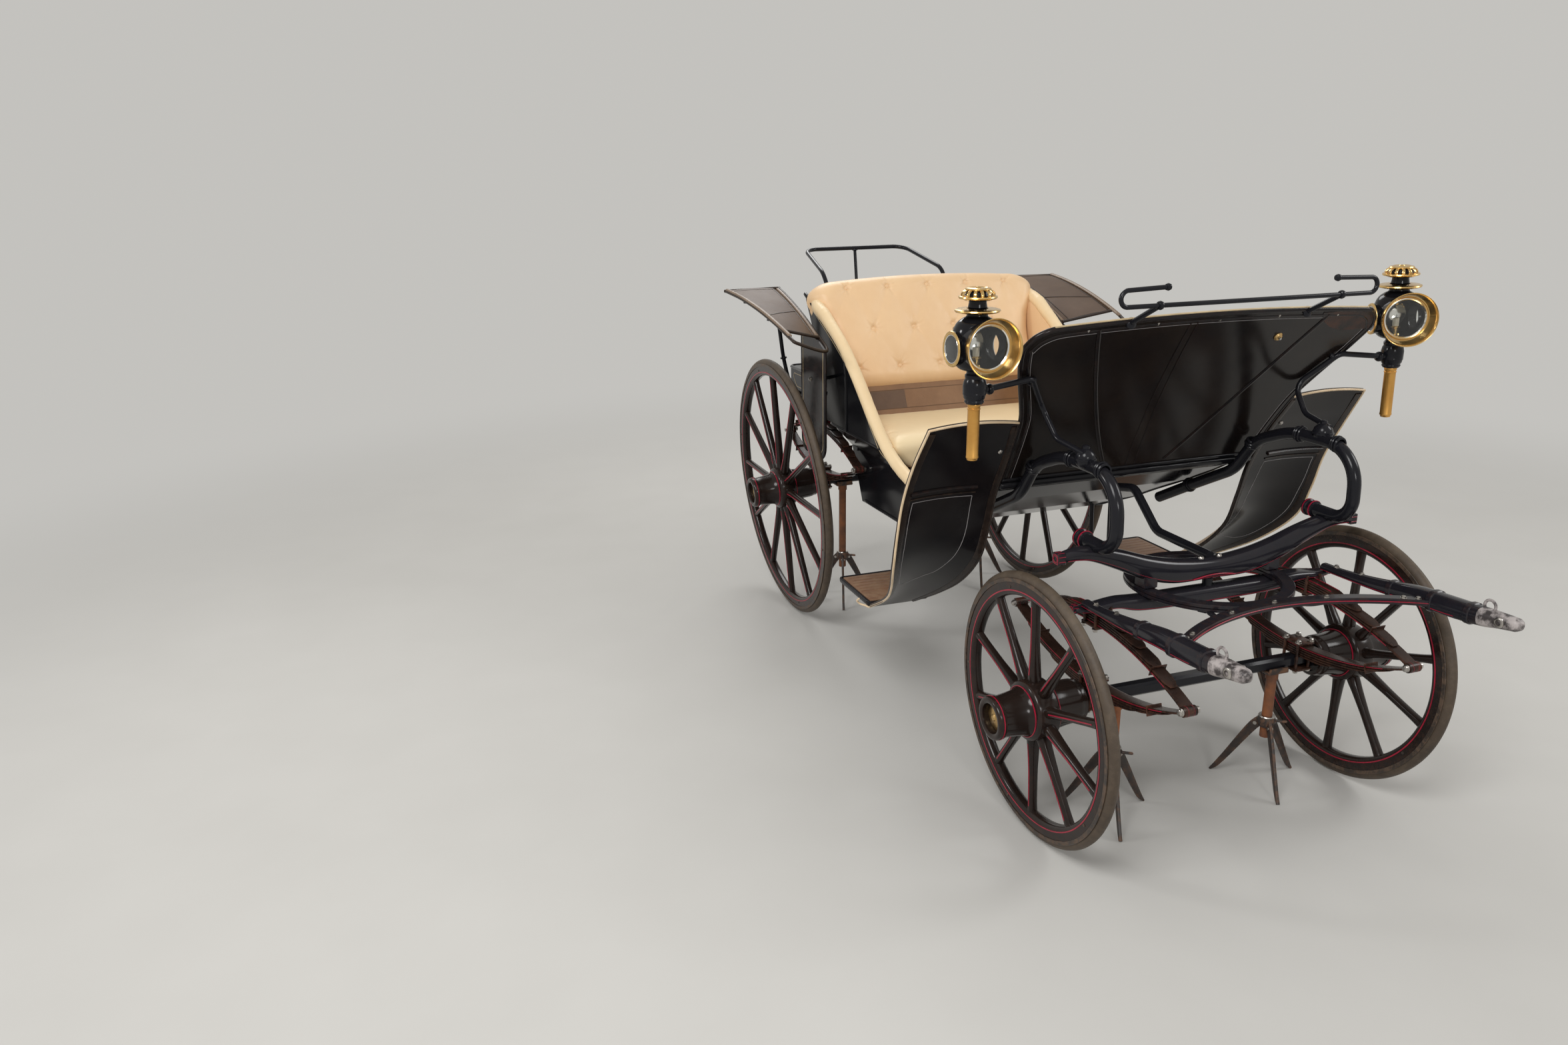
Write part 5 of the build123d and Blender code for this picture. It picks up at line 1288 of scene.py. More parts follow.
def dash_trim():
    form = Form()
    edge = smooth([dash_at(x, z, -7, -1) for x, z in dash_outline(0)], 3)
    form.rod(edge, circle(7.6, 12), tips=True, finish=0)
    top = [dash_at(x, dash_top(x) + 7, -7) for x in np.linspace(-500, 500, 60)]
    form.rod(top, circle(2.4, 8), tips=True, finish=1)
    for side in (-1, 1):
        up = DASH_UP * -side
        for inset, width, height, number in ((17, 7.0, 1.8, 0), (25, 1.4, 0.8, 2)):
            welt = smooth([dash_at(x, z, 0, side) for x, z in dash_outline(inset)], 3)
            form.rod(welt, raised(width, height), up=up, finish=number)
        for way in (-1, 1):
            steps = np.linspace(0.02, 1.18, 20)
            places = [(way * (374 - 226 * t), 1400 - 405 * t - 60 * t * (1 - t)) for t in steps]
            form.rod([dash_at(x, z, 0, side) for x, z in places], raised(12.0, 3.0), up=up, finish=0)
        for base, head in ((-23, -90), (8, -68)):
            steps = np.linspace(0, 1, 24)
            places = [(base + (head - base) * t - 26 * t * (1 - t), 912 + 488 * t) for t in steps]
            form.rod([dash_at(x, z, 0, side) for x, z in places], raised(4.0, 1.6), up=up, finish=0)
    # the left upper corner is rubbed to the red brown of the hide
    rubbed = [
        (1338, 452, 555), (1352, 402, 553), (1366, 374, 546), (1380, 356, 531), (1391, 346, 512),
        (1398, 343, 492),
    ]
    patch = [[dash_at(x, z, 0.4) for x in np.linspace(low, high, 14)] for z, low, high in rubbed]
    form.sheet(patch, 0.9, front=6, back=6)
    stud = dash_at(242, 1332)
    form.turned([(0, -2), (13, -2), (13, 2), (9, 6), (0, 7)], stud, DASH_UP, 24, finish=3)
    form.turned([(0, 6), (4, 7), (4, 12), (0, 13)], stud, DASH_UP, 16, finish=4)
    for x, z in ((-194, 1404), (194, 1404), (-400, 1396), (400, 1396), (0, 1405)):
        form.turned([(0, -1), (4.5, -1), (4.5, 1), (0, 2.4)], dash_at(x, z - 8), DASH_UP, 12, finish=4)
    # foot moulding in three beads, and the bolts of the toe board
    for z, lift, size in ((903, 4, 12.0), (921, 1, 6.0), (889, -8, 7.5)):
        form.rod([dash_at(-441, z, lift), dash_at(441, z, lift)], circle(size, 14), tips=True, finish=5)
    for x in (-300, -180, -60, 60, 180, 300):
        bolt_head(form, at(x, -1442, 886), (0, -0.62, -0.78), 6.0, 8.0, 4)
    return form


dash_finishes = [patent, gold_line, grey_stitch, hub_brass, steel, body_varnish, worn_leather]
make("dash_edging", dash_trim(), dash_finishes, "carriage")

rail_trim = Form()
collar = [(6.5, -6), (10, -5), (11.5, 0), (10, 5), (6.5, 6)]
for way in (-1, 1):
    rail_trim.turned(collar, at(way * 282, -1936, 1460), (1, 0, 0), 24, loop=True)
    foot = at(way * 282, -1826, 1404)
    rail_trim.turned([(0, -2), (15, -2), (15, 2), (10, 5), (0, 6)], foot, (0, -1, 0.1), 24)
    tip = at(way * 267, -1936, 1504)
    rail_trim.turned([(0, -4), (7.5, -2), (9.5, 4), (7.5, 10), (0, 12)], tip, (-way, 0, 0), 24)
make("rail_collars", rail_trim, [iron_paint], "carriage")

# Lamps: a drum case with a round window in front and one on each side, a stacked chimney and
# a candle tube. Profiles round the foot are (radius, height above the floor), and those round a
# window (radius, distance out from the case's middle).

LAMP_X = 685.0
LAMP_Y = -1752.0
LAMP_Z = 1367.0
FRONT_PANE_DROP = 2.0
SIDE_PANE_DROP = 10.0
FORWARD = (0.0, -1.0, 0.0)
BACKWARD = (0.0, 1.0, 0.0)
OUTWARD = (1.0, 0.0, 0.0)
INWARD = (-1.0, 0.0, 0.0)
FRONT_HOLE = 55.0
SIDE_HOLE = 36.0
LAMP_HOLD_Z = 1245.0
LEFT_LAMP_LEAN = -2.5
LEFT_LAMP_TURN = -26.0
CROWN_TEETH = 14
CASE_OUTLINE = [
    (22, 1298), (40, 1303), (52, 1315), (60, 1336), (63, 1367), (60, 1398), (51, 1418), (38, 1429),
    (29, 1434), (26.5, 1438), (26.5, 1447),
]
SOCKET = [
    (0, 1214), (22, 1214), (25.5, 1219), (24, 1224), (27.5, 1229), (30, 1243), (30.5, 1262), (28, 1273),
    (25, 1279), (26, 1283), (26, 1288), (22, 1292), (22, 1300), (0, 1301),
]
BEZEL = [
    (54.5, 60), (57, 58), (62, 58.5), (66, 66), (70.5, 80), (74.5, 93), (76.2, 98), (74.6, 100.4),
    (72.4, 98.6), (69, 90), (64, 77), (59.6, 66.5), (54.5, 64),
]


def holed(form, eye, holes):
    """The form without the faces that lie in round windows, each given by its axis and radius."""

    def in_window(spot, axis, radius):
        depth = spot.dot(axis)
        return depth > 20 * MM and np.linalg.norm(spot - np.array(axis) * depth) < radius * MM

    kept = Form()
    kept.points = form.points
    for face, number in zip(form.faces, form.finish):
        spot = form.points[list(face)].mean(0) - eye
        if not any(in_window(spot, *hole) for hole in holes):
            kept.faces.append(face)
            kept.finish.append(number)
    return kept


def lamp():
    """Both lamps with their case, fittings, panes, candle and tube, drawn on the left hand."""
    foot = at(LAMP_X, LAMP_Y, 0)
    eye = at(LAMP_X, LAMP_Y, LAMP_Z - FRONT_PANE_DROP)
    flank = at(LAMP_X, LAMP_Y, LAMP_Z - SIDE_PANE_DROP)
    case = Form()
    outer = smooth(CASE_OUTLINE, 5)
    inner = [(max(r - 2.4, 1.0), z + (2.2 if z < LAMP_Z else -2.2)) for r, z in outer[::-1] if z < 1432]
    wall = [*map(tuple, outer), (20, 1447), (20, 1432), *inner, (0, 1301), (0, 1298)]
    shell = Form().turned(wall, foot, sides=112)
    shell = holed(shell, eye, [(FORWARD, FRONT_HOLE)])
    case.join(holed(shell, flank, [(OUTWARD, SIDE_HOLE), (INWARD, SIDE_HOLE)]))
    barrel = [(54, 18), (60, 18), (60.6, 30), (60.6, 60), (56, 61.5), (55, 58), (55, 24)]
    case.turned(barrel, eye, FORWARD, 72, loop=True)
    side_barrel = [(34, 46), (41, 46), (42.5, 54), (42.5, 62), (44, 64), (44, 67), (36, 67), (36, 50)]
    for way in (OUTWARD, INWARD):
        case.turned(side_barrel, flank, way, 56, loop=True)
    door = [(0, 52), (39, 52), (42, 56), (41, 62), (30, 66), (12, 68), (0, 68)]
    case.turned(door, eye, BACKWARD, 48)
    for dz in (-26, 26):
        hinge = [eye + np.array((30, 62, dz + way * 9)) * MM for way in (-1, 1)]
        case.rod(hinge, circle(4.0, 10), tips=True)
    # domed rings of the chimney, black below their brass edges
    low_dome = [(26, 1441), (40, 1443), (52, 1448), (53, 1450.5), (38, 1451), (26, 1452)]
    neck = [(18, 1447), (24, 1458), (23, 1464), (22, 1470), (24, 1478), (30, 1481), (0, 1481), (0, 1447)]
    top_dome = [(22, 1474), (34, 1475), (43, 1479.5), (44, 1482), (30, 1483), (22, 1483)]
    case.turned(low_dome, foot, sides=64, loop=True)
    case.turned(neck, foot, sides=48)
    case.turned(top_dome, foot, sides=64, loop=True)
    case.turned(SOCKET, foot, sides=40, finish=1)

    fittings = Form()
    # flared front bezel with a rolled lip, and a thin inner ring that holds the pane
    fittings.turned(BEZEL, eye, FORWARD, 80, loop=True)
    pane_ring = [(52.6, 62), (54.6, 61), (58, 64), (57.6, 67.6), (55, 68.4), (52.4, 66)]
    fittings.turned(pane_ring, eye, FORWARD, 72, loop=True, finish=1)
    side_rim = [
        (36.5, 66), (38, 65), (43.5, 66.2), (45.2, 68.6), (44.2, 71), (40, 72), (37.4, 71), (36.4, 69),
    ]
    side_ring = [(34, 67.4), (36, 66.6), (37.2, 68.6), (36, 70.6), (34, 69.8)]
    for way in (OUTWARD, INWARD):
        fittings.turned(side_rim, flank, way, 60, loop=True)
        fittings.turned(side_ring, flank, way, 56, loop=True, finish=1)
    # silvered reflector behind the candle
    dish = [(0, 43), (14, 42), (27, 37), (36, 29), (37, 30), (28, 39), (14, 44.5), (0, 45.5)]
    fittings.turned(dish, eye, BACKWARD, 56, finish=1)
    candle_cup = [
        (0, 1301), (21, 1302), (22, 1306), (14, 1309), (11.5, 1313), (11.5, 1328), (13, 1330), (13, 1333),
        (9, 1335), (0, 1335),
    ]
    fittings.turned(candle_cup, foot, sides=32)
    # chimney's brass edges and pierced crown
    low_edge = [
        (50, 1444.5), (55.5, 1446), (57.8, 1449), (56.6, 1452), (52, 1453.4), (40, 1453.6), (27, 1455),
        (27, 1452), (50, 1450.6),
    ]
    top_edge = [
        (42, 1478), (47, 1479.2), (49, 1482), (48, 1485), (43.5, 1486.4), (24, 1487.5), (24, 1484),
        (42, 1482.6),
    ]
    for edge in (low_edge, top_edge):
        fittings.turned(edge, foot, sides=72, loop=True)
    tooth = ((41, 1486), (41, 1491), (36, 1497), (27, 1501))
    for k in range(CROWN_TEETH):
        a = 2 * math.pi * k / CROWN_TEETH
        out = np.array((math.cos(a), math.sin(a), 0))
        rib = [foot + out * r * MM + np.array((0, 0, z * MM)) for r, z in tooth]
        fittings.rod(smooth(rib, 3), oval(4.2, 1.6, 10, 3.0), up=out, tips=True)
    lid = [
        (0, 1499), (24, 1499.5), (31, 1499), (33, 1501.5), (31, 1504.5), (24, 1506), (22, 1504.8),
        (8, 1505.5), (6, 1508), (0, 1509),
    ]
    fittings.turned(lid, foot, sides=48)
    fittings.turned([(0, 1486), (33, 1487), (28, 1496), (20, 1500), (0, 1501)], foot, sides=40, finish=2)
    # catch of the back door
    catch = [(0, 66), (5, 67), (6, 71), (4, 75), (0, 76)]
    fittings.turned(catch, eye + np.array((-24, 0, 0)) * MM, BACKWARD, 20)

    panes = Form()
    panes.turned([(0, 66.6), (30, 66.2), (53.4, 65), (53.4, 63.6), (30, 64.8), (0, 65.2)], eye, FORWARD, 56)
    for way in (OUTWARD, INWARD):
        panes.turned([(0, 70), (20, 69.6), (35, 68.8), (35, 67.8), (20, 68.6), (0, 69)], flank, way, 48)

    wax = Form()
    wax.turned([(0, 1334), (8.5, 1334), (8.5, 1356), (7.4, 1358), (2, 1359), (0, 1359)], foot, sides=24)
    wick = [foot + np.array((0, 0, 1.357)), foot + np.array((0.001, 0, 1.366))]
    wax.rod(wick, circle(0.9, 6), tips=True, finish=1)

    tube = Form()
    sleeve = [
        (0, 1064), (9, 1064.5), (13.5, 1066), (14.5, 1070), (16.4, 1072), (16.4, 1076), (15.8, 1078),
        (15.8, 1205), (16.8, 1207), (17.6, 1212), (16, 1215), (0, 1215),
    ]
    tube.turned(sleeve, foot, sides=40)
    tube.turned([(15.6, 1198), (17, 1199), (17, 1202), (15.6, 1203)], foot, sides=40, loop=True)
    parts = [
        ("lamp_case", case, [body_varnish, iron_paint], ["lamp_body_{}"], "black_body", 32.0),
        ("lamp_fittings", fittings, [brass, silver, iron_paint], ["lamp_brass_{}"], "brass", 30.0),
        ("lamp_panes", panes, [lamp_glass], [], "brass", 38.0),
        ("lamp_candle", wax, [candle_wax, iron_paint], [], "cream_leather", 38.0),
        ("candle_tube", tube, [golden_tube], ["lamp_tube_{}"], "candle_tube", 38.0),
    ]
    pieces = []
    for name, form, finishes, stands_for, slot, crease in parts:
        pieces += both(name, form, finishes, "carriage", stands_for, crease)
    # the left lamp sits askew in its socket, turned towards the middle
    hold = Matrix.Translation(at(LAMP_X, LAMP_Y, LAMP_HOLD_Z).tolist())
    askew = hold @ turn_by(LEFT_LAMP_LEAN, "Y") @ turn_by(LEFT_LAMP_TURN, "Z") @ hold.inverted()
    for piece in pieces:
        if piece.name.endswith("left"):
            piece.data.transform(askew)

    iron = Form()
    collar = [(8, -7), (12.5, -6), (14.5, -2), (14.5, 2), (12.5, 6), (8, 7)]
    for spot, axis in (((498, -1716, 1252), (0.75, -0.5, 0.45)), ((640, -1748, 1247), (0.99, -0.1, -0.05))):
        iron.turned(collar, at(*spot), axis, 28, loop=True)
    socket_ring = [(22, -7), (27, -7), (30, -2), (30, 2), (27, 7), (22, 7)]
    iron.turned(socket_ring, at(LAMP_X, LAMP_Y, 1240), sides=36, loop=True)
    both("lamp_iron_collars", iron, [iron_paint], "carriage")


lamp()

# Upholstery


# The tub's side: half widths at its ledge and below at its waist, and the flare above the ledge
LEDGE_Z, LEDGE_HALF = 825, 452
WAIST_Z, WAIST_HALF = 745, 385
FLARE_UP, FLARE_OUT = 465, 36
TUB_TOP_HALF = 488.0


def wall_half(z):
    """Outer half width of the tub's flared side."""
    if z > LEDGE_Z:
        return LEDGE_HALF + FLARE_OUT * (z - LEDGE_Z) / FLARE_UP
    return WAIST_HALF + (LEDGE_HALF - WAIST_HALF) * max(0.0, z - WAIST_Z) / (LEDGE_Z - WAIST_Z)


def pillow(low, high, ease, crown, cell, fit=None):
    """Closed stuffed block in millimetres: rounded edges and a crowned top."""
    low, high = np.array(low, float), np.array(high, float)
    middle, half = (low + high) / 2, (high - low) / 2
    cells = np.maximum(2, np.round(2 * half / cell).astype(int))
    index, points, faces = {}, [], []

    def corner(i, j, k):
        if (i, j, k) not in index:
            raw = (np.array((i, j, k)) / cells * 2 - 1) * half
            core = np.clip(raw, ease - half, half - ease)
            off = raw - core
            size = np.linalg.norm(off)
            spot = core + off / size * ease if size > 1e-9 else raw
            if spot[2] > 0:
                spot[2] += crown * (1 - (spot[0] / half[0]) ** 2) * (1 - (spot[1] / half[1]) ** 2)
            spot = spot + middle
            if fit:
                spot = fit(spot)
            index[(i, j, k)] = len(points)
            points.append(at(*spot))
        return index[(i, j, k)]

    # both faces across each axis, the others stepping cell by cell
    for flat, first, second in ((2, 0, 1), (1, 0, 2), (0, 1, 2)):
        for level in (0, cells[flat]):
            for i in range(cells[first]):
                for j in range(cells[second]):
                    face = []
                    for di, dj in ((0, 0), (1, 0), (1, 1), (0, 1)):
                        cell = [0, 0, 0]
                        cell[flat], cell[first], cell[second] = level, i + di, j + dj
                        face.append(corner(*cell))
                    faces.append(tuple(face))
    return Form().add(points, faces)


def vertex_places(mesh):
    flat = np.zeros(len(mesh.vertices) * 3, np.float32)
    mesh.vertices.foreach_get("co", flat)
    return flat.reshape(-1, 3).astype(float)


def swell(piece, voxel, cap, rest_z, pressure=4.0):
    """Blow a soft piece up with cloth and pressure, keep each point within the cap and its underside flat."""
    scene = bpy.context.scene
    remesh = piece.modifiers.new("remesh", "REMESH")
    remesh.mode = "VOXEL"
    remesh.voxel_size = voxel
    graph = bpy.context.evaluated_depsgraph_get()
    skin = bpy.data.meshes.new_from_object(piece.evaluated_get(graph))
    piece.modifiers.remove(remesh)
    piece.data = skin
    start = vertex_places(skin)
    cloth = piece.modifiers.new("cloth", "CLOTH")
    settings = cloth.settings
    settings.quality = 5
    settings.mass = 0.3
    settings.tension_stiffness = 12
    settings.compression_stiffness = 6
    settings.bending_stiffness = 0.3
    settings.use_pressure = True
    settings.uniform_pressure_force = pressure
    settings.effector_weights.gravity = 0
    for number in range(1, 21):
        scene.frame_set(number)
    graph = bpy.context.evaluated_depsgraph_get()
    blown = piece.evaluated_get(graph).to_mesh()
    end = vertex_places(blown)
    piece.evaluated_get(graph).to_mesh_clear()
    piece.modifiers.remove(cloth)
    scene.frame_set(1)
    shift = end - start
    size = np.linalg.norm(shift, axis=1, keepdims=True)
    shift *= np.minimum(1.0, cap * MM / np.maximum(size, 1e-9))
    places = start + shift
    places[:, 2] = np.maximum(places[:, 2], rest_z * MM)
    skin.vertices.foreach_set("co", places.astype(np.float32).ravel())
    skin.polygons.foreach_set("use_smooth", [True] * len(skin.polygons))
    skin.update()
    fine = piece.modifiers.new("fine", "SUBSURF")
    fine.levels = fine.render_levels = 1


SEAT_HALF = 372.0
SEAT_GAP = 14.0
ROLL_ROOM = 10.0


def seat_fit(spot):
    """Draw the cushion's sides in with the tub and the rolls, and slope its front edge."""
    x, y, z = spot
    z = z - 10.0 * max(0.0, (-640 - y) / 95.0) ** 2
    beside_roll = min(1.0, max(0.0, (-y - 585) / 90.0))
    room = wall_half(min(z, 866)) - SEAT_GAP - ROLL_ROOM * beside_roll
    return np.array((x / SEAT_HALF * room, y, z))


seat_form = pillow((-SEAT_HALF, -728, 762), (SEAT_HALF, -262, 864), 26, 8, 12, seat_fit)
seat = make("seat_pad", seat_form, [seat_cream], "carriage", ["seat_cushion"], crease=80)
swell(seat, 0.009, 9.0, 757.5)

groom_form = pillow((-206, 254, 1090), (206, 592, 1158), 24, 8, 12)
groom = make(
    "groom_pad", groom_form, [seat_cream], "carriage", ["rumble_cushion"], crease=80
)
swell(groom, 0.008, 8.0, 1085.5)
groom_trim = Form()
GROOM_CORNER = 60.0
for z in (1098, 1152):
    ring = [np.array((x, y, 0.0)) for x, y in ((-206, 254), (206, 254), (206, 592), (-206, 592))]
    path = []
    for a, b, c in zip(ring[-1:] + ring[:-1], ring, ring[1:] + ring[:1]):
        for t in np.linspace(0, 1, 7):
            bend = b + unit(a - b) * GROOM_CORNER * (1 - t) ** 2 + unit(c - b) * GROOM_CORNER * t**2
            path.append(at(bend[0], bend[1], z))
    groom_trim.rod(path, circle(3.6, 10), loop=True)
for x, y in ((-90, 350), (90, 350), (-90, 490), (90, 490)):
    groom_trim.turned([(0, -4), (9, -3), (10, 0), (7, 3), (0, 4)], at(x, y, 1166), sides=16)
make("groom_pad_welts", groom_trim, [seat_cream], "carriage")

# Backrest: a leaning slab with diamond buttoning
BACK_FOOT = np.array((0.0, -278.0, 976.0))
BACK_TOP = np.array((0.0, -77.0, 1405.0))
BACK_LENGTH = float(np.linalg.norm(BACK_TOP - BACK_FOOT))
BACK_UP = (BACK_TOP - BACK_FOOT) / BACK_LENGTH
BACK_OUT = np.array((0.0, -BACK_UP[2], BACK_UP[1]))
BACK_THICK = 94.0
BUTTON_GAP = 175.0
BUTTON_ROWS = [(413.0, 0.0), (242.0, 0.5), (87.0, 0.0)]
PLEAT_REACH = 470.0
SHOULDER = BACK_LENGTH - 92.0
SIDE_RUNS = [0.0, 120.0, 210.0, 265.0, 310.0, 350.0, SHOULDER]
SIDE_HALVES = [429.0, 436.0, 442.0, 454.0, 476.0, 491.0, 497.0]
CORNER_WIDE, CORNER_HIGH = 118.0, 74.0


def back_half(run):
    """Half width of the back: straight between the walls, then swelling out over the tub's corners."""
    return float(np.interp(run, SIDE_RUNS, SIDE_HALVES))


def back_top(x):
    x = abs(x)
    start = SIDE_HALVES[-1] - CORNER_WIDE
    crown = BACK_LENGTH - 14 * min(1.0, x / start) ** 2
    if x <= start:
        return crown
    return crown - CORNER_HIGH * (1 - math.sqrt(max(0.0, 1 - ((x - start) / CORNER_WIDE) ** 2)))


def back_place(x, run, out):
    spot = BACK_FOOT + BACK_UP * run + BACK_OUT * out
    return at(x, spot[1], spot[2])


def button_places():
    places = []
    for run, shift in BUTTON_ROWS:
        for k in range(-3, 4):
            x = (k + shift) * BUTTON_GAP
            if abs(x) < back_half(run) - 40:
                places.append((x, run))
    return places


def pleats():
    """Folds between buttons of neighbouring rows, and from the outer rows to the edges."""
    lines = []
    for (run, shift), (lower, other) in zip(BUTTON_ROWS, BUTTON_ROWS[1:]):
        for k in range(-4, 5):
            x = (k + shift) * BUTTON_GAP
            for way in (-0.5, 0.5):
                end = x + way * BUTTON_GAP
                if abs(x) < PLEAT_REACH and abs(end) < PLEAT_REACH:
                    lines.append(((x, run), (end, lower)))
    lowest = BUTTON_ROWS[-1][0]
    for k in range(-2, 3):
        lines.append(((k * BUTTON_GAP, lowest), (k * BUTTON_GAP, -10.0)))
    return lines


def distance_to(line, x, run):
    (ax, ay), (bx, by) = line
    dx, dy = bx - ax, by - ay
    t = np.clip(((x - ax) * dx + (run - ay) * dy) / (dx * dx + dy * dy), 0, 1)
    return np.hypot(x - ax - t * dx, run - ay - t * dy)


def tufted_back():
    """The back as one closed skin: puffs between pleats, pressed in and creased round its buttons."""
    columns, rows = 241, 141
    # points stand closer towards the edges
    across, up = np.linspace(-1, 1, columns), np.linspace(0, 1, rows)
    spread = np.sin(across * math.pi / 2) * 0.35 + across * 0.65
    rise = (1 - np.cos(up * math.pi)) / 2 * 0.3 + up * 0.7
    x = np.zeros((rows, columns))
    run = np.zeros((rows, columns))
    for j, share in enumerate(spread):
        for i, height in enumerate(rise):
            here = height * back_top(share * SIDE_HALVES[-1])
            x[i, j] = share * back_half(here)
            run[i, j] = here
    rim = [(back_half(0) * s, 0.0) for s in np.linspace(-1, 1, 20)]
    rim += [(back_half(r), r) for r in np.linspace(0, SHOULDER, 24)]
    top = np.sin(np.linspace(math.pi / 2, -math.pi / 2, 90)) * back_half(SHOULDER)
    rim += [(px, back_top(px)) for px in top]
    rim += [(-back_half(r), r) for r in np.linspace(SHOULDER, 0, 24)]
    edge = np.full(x.shape, 1e9)
    for a, b in zip(rim, rim[1:]):
        if a != b and math.hypot(a[0] - b[0], a[1] - b[1]) > 1e-6:
            edge = np.minimum(edge, distance_to((a, b), x, run))
    fold = np.full(x.shape, 1e9)
    for line in pleats():
        fold = np.minimum(fold, distance_to(line, x, run))
    press = np.zeros(x.shape)
    creases = np.zeros(x.shape)
    for bx, by in button_places():
        far = np.hypot(x - bx, run - by)
        turn = np.arctan2(run - by, x - bx)
        # pressed in hard at the button and softly around it, with fine creases that fan out
        press += np.exp(-((far / 11.0) ** 2)) + 0.30 * np.exp(-((far / 46.0) ** 2))
        fan = np.abs(np.cos(2.5 * turn + bx * 0.37 + by)) ** 14 + 0.6 * np.abs(np.cos(3.5 * turn + bx)) ** 22
        creases += 2.4 * fan * np.exp(-((far - 14) / 24.0) ** 2) * np.clip(far / 8.0, 0, 1)
    puff = 1 - np.exp(-((fold / 21.0) ** 1.5))
    wrinkle = np.zeros(x.shape)
    for i in range(rows):
        for j in range(columns):
            broad = noise.noise((x[i, j] * 0.012, run[i, j] * 0.012, 3.1))
            wrinkle[i, j] = broad + 0.4 * noise.noise((x[i, j] * 0.04, run[i, j] * 0.03, 9.7))
    body = -10 + 2.4 * puff - 13 * press - 1.5 * creases + 2.2 * wrinkle
    turn = np.clip(edge / 62.0, 0, 1)
    round_over = np.sqrt(np.clip(1 - (1 - turn) ** 2, 0, 1))
    out = -BACK_THICK + (BACK_THICK + body) * round_over
    points = [back_place(*spot) for spot in zip(x.ravel(), run.ravel(), out.ravel())]
    quads, border = grid_faces(rows, columns)
    front = [(a, d, c, b) for a, b, c, d in quads]
    return Form().add(points, [*front, tuple(border[::-1])])


# the back is drawn in the cream leather painted darker as shade
tufted = make(
    "tufted_back", tufted_back(), [back_leather_painted_shade], "carriage", ["backrest"], crease=70
)
buttons = Form()
for bx, by in button_places():
    spot = back_place(bx, by, -26.0)
    buttons.turned([(0, -3), (7, -2), (8, 0.5), (7, 3), (4, 4.6), (0, 5)], spot, BACK_OUT, 20)
# the buttons are drawn in the cream leather painted darker as shade
make("back_buttons", buttons, [back_leather_painted_shade], "carriage")

# Brown board between the seat and the back, with its darker patch
board = Form()
lean = lambda x, z, out=0.0: at(x, -224 + (z - 976) * 0.47 + out, z)
grid = [[lean(x, z) for x in np.linspace(-412, 412, 25)] for z in (800, 872, 940, 1005)]
board.sheet(grid, 9.0)
patch = [[lean(x, z, -9.4) for x in np.linspace(-392, -168, 9)] for z in (884, 915, 950)]
board.sheet(patch, 1.8, front=1)
for z in (884, 952):
    seam = [lean(x, z, -9.2) for x in np.linspace(-405, 405, 25)]
    board.rod(seam, raised(3.0, 1.2), up=(0, -1, 0), finish=1)
make("back_board_cover", board, [brown_board, darker_board_patch], "carriage")

# Side rolls with small gathers, and the lining panels below them
ROLL = [
    (-168, 1250), (-225, 1220), (-290, 1186), (-375, 1130), (-490, 1026), (-600, 916), (-720, 822),
    (-860, 770), (-1010, 752),
]


def roll_x(z):
    """The roll's middle, on the slope of the tub's upper side."""
    return LEDGE_HALF - 9 + FLARE_OUT * (z - LEDGE_Z) / FLARE_UP


# the roll's upper end runs in under the back's shoulder: x, y, z, size
CORNER_ROLL = [(466, -54, 1288, 1.1), (476, -114, 1268, 1.2)]
places = [at(x, y, z) for x, y, z, _ in CORNER_ROLL] + [at(roll_x(z), y, z) for y, z in ROLL]
roll_run = smooth(places, 12)
spans = [size for *_, size in CORNER_ROLL] + [1.2, 1.12] + [1.05] * (len(ROLL) - 2)
full = np.interp(np.linspace(0, len(spans) - 1, len(roll_run)), range(len(spans)), spans)
roll = Form()
sizes = []
for k, size in enumerate(full):
    share = k / (len(roll_run) - 1)
    ripple = 0.02 * math.sin(share * 160) * math.sin(share * 23)
    gather = 1 + ripple + 0.015 * noise.noise((share * 40, 2.0, 0.5))
    end = min(1.0, 0.80 + (1 - share) * 4)
    sizes.append((gather * size * end * 1.05, gather * size * end))
roll.rod(roll_run, oval(21, 20.5, 24), sizes, up=(1, 0, 0), tips=True)
rolls = both("side_roll_pad", roll, [roll_cream], "carriage", ["side_roll_{}"], crease=80)

lining = Form()
top_run = smooth([(-60, 1296), (-115, 1272)] + ROLL[:7], 6)
LINING_SEAM_DROP = 34.0
grid = []
for y, z in top_run:
    # down to the cushion, and behind it to the back pad's rear
    low = max(848.0, 866.0 - max(0.0, -640 - y) * 0.5, min(z - 40, 976 + (y + 186) / 0.469))
    column = []
    for share in np.linspace(0, 1, 14):
        height = (z - 14) * (1 - share) + low * share
        belly = 7.0 * math.sin(math.pi * share) ** 0.6 * min(1.0, (z - low) / 120) if 0 < share < 1 else 0.0
        column.append(at(wall_half(height) - 25 - belly, y, height))
    grid.append(column)
lining.sheet(grid, 6.0)
seam_run = [(y, z - LINING_SEAM_DROP) for y, z in top_run[2:-16]]
lining.rod([at(wall_half(z) - 30, y, z) for y, z in seam_run], circle(2.4, 8), tips=True)
# the linings are drawn in the cream leather painted darker as shade
both("side_lining", lining, [back_leather_painted_shade], "carriage")

# Floor mat on the floor and the toe slope, and the tread covers
UNDERSIDE = [(-1452, 898), (-1418, 880), (-1250, 775), (-1010, 655), (-760, 552)]
mat = Form()
run = smooth([(y + 6, z + 21) for y, z in UNDERSIDE], 6)
grid = [[at(x, y, z + 4) for x in np.linspace(-1, 1, 21) * (wall_half(z) - 24)] for y, z in run[2:]]
mat.sheet(grid, 5.0)
make("floor_mat", mat, [floor_carpet], "carriage")

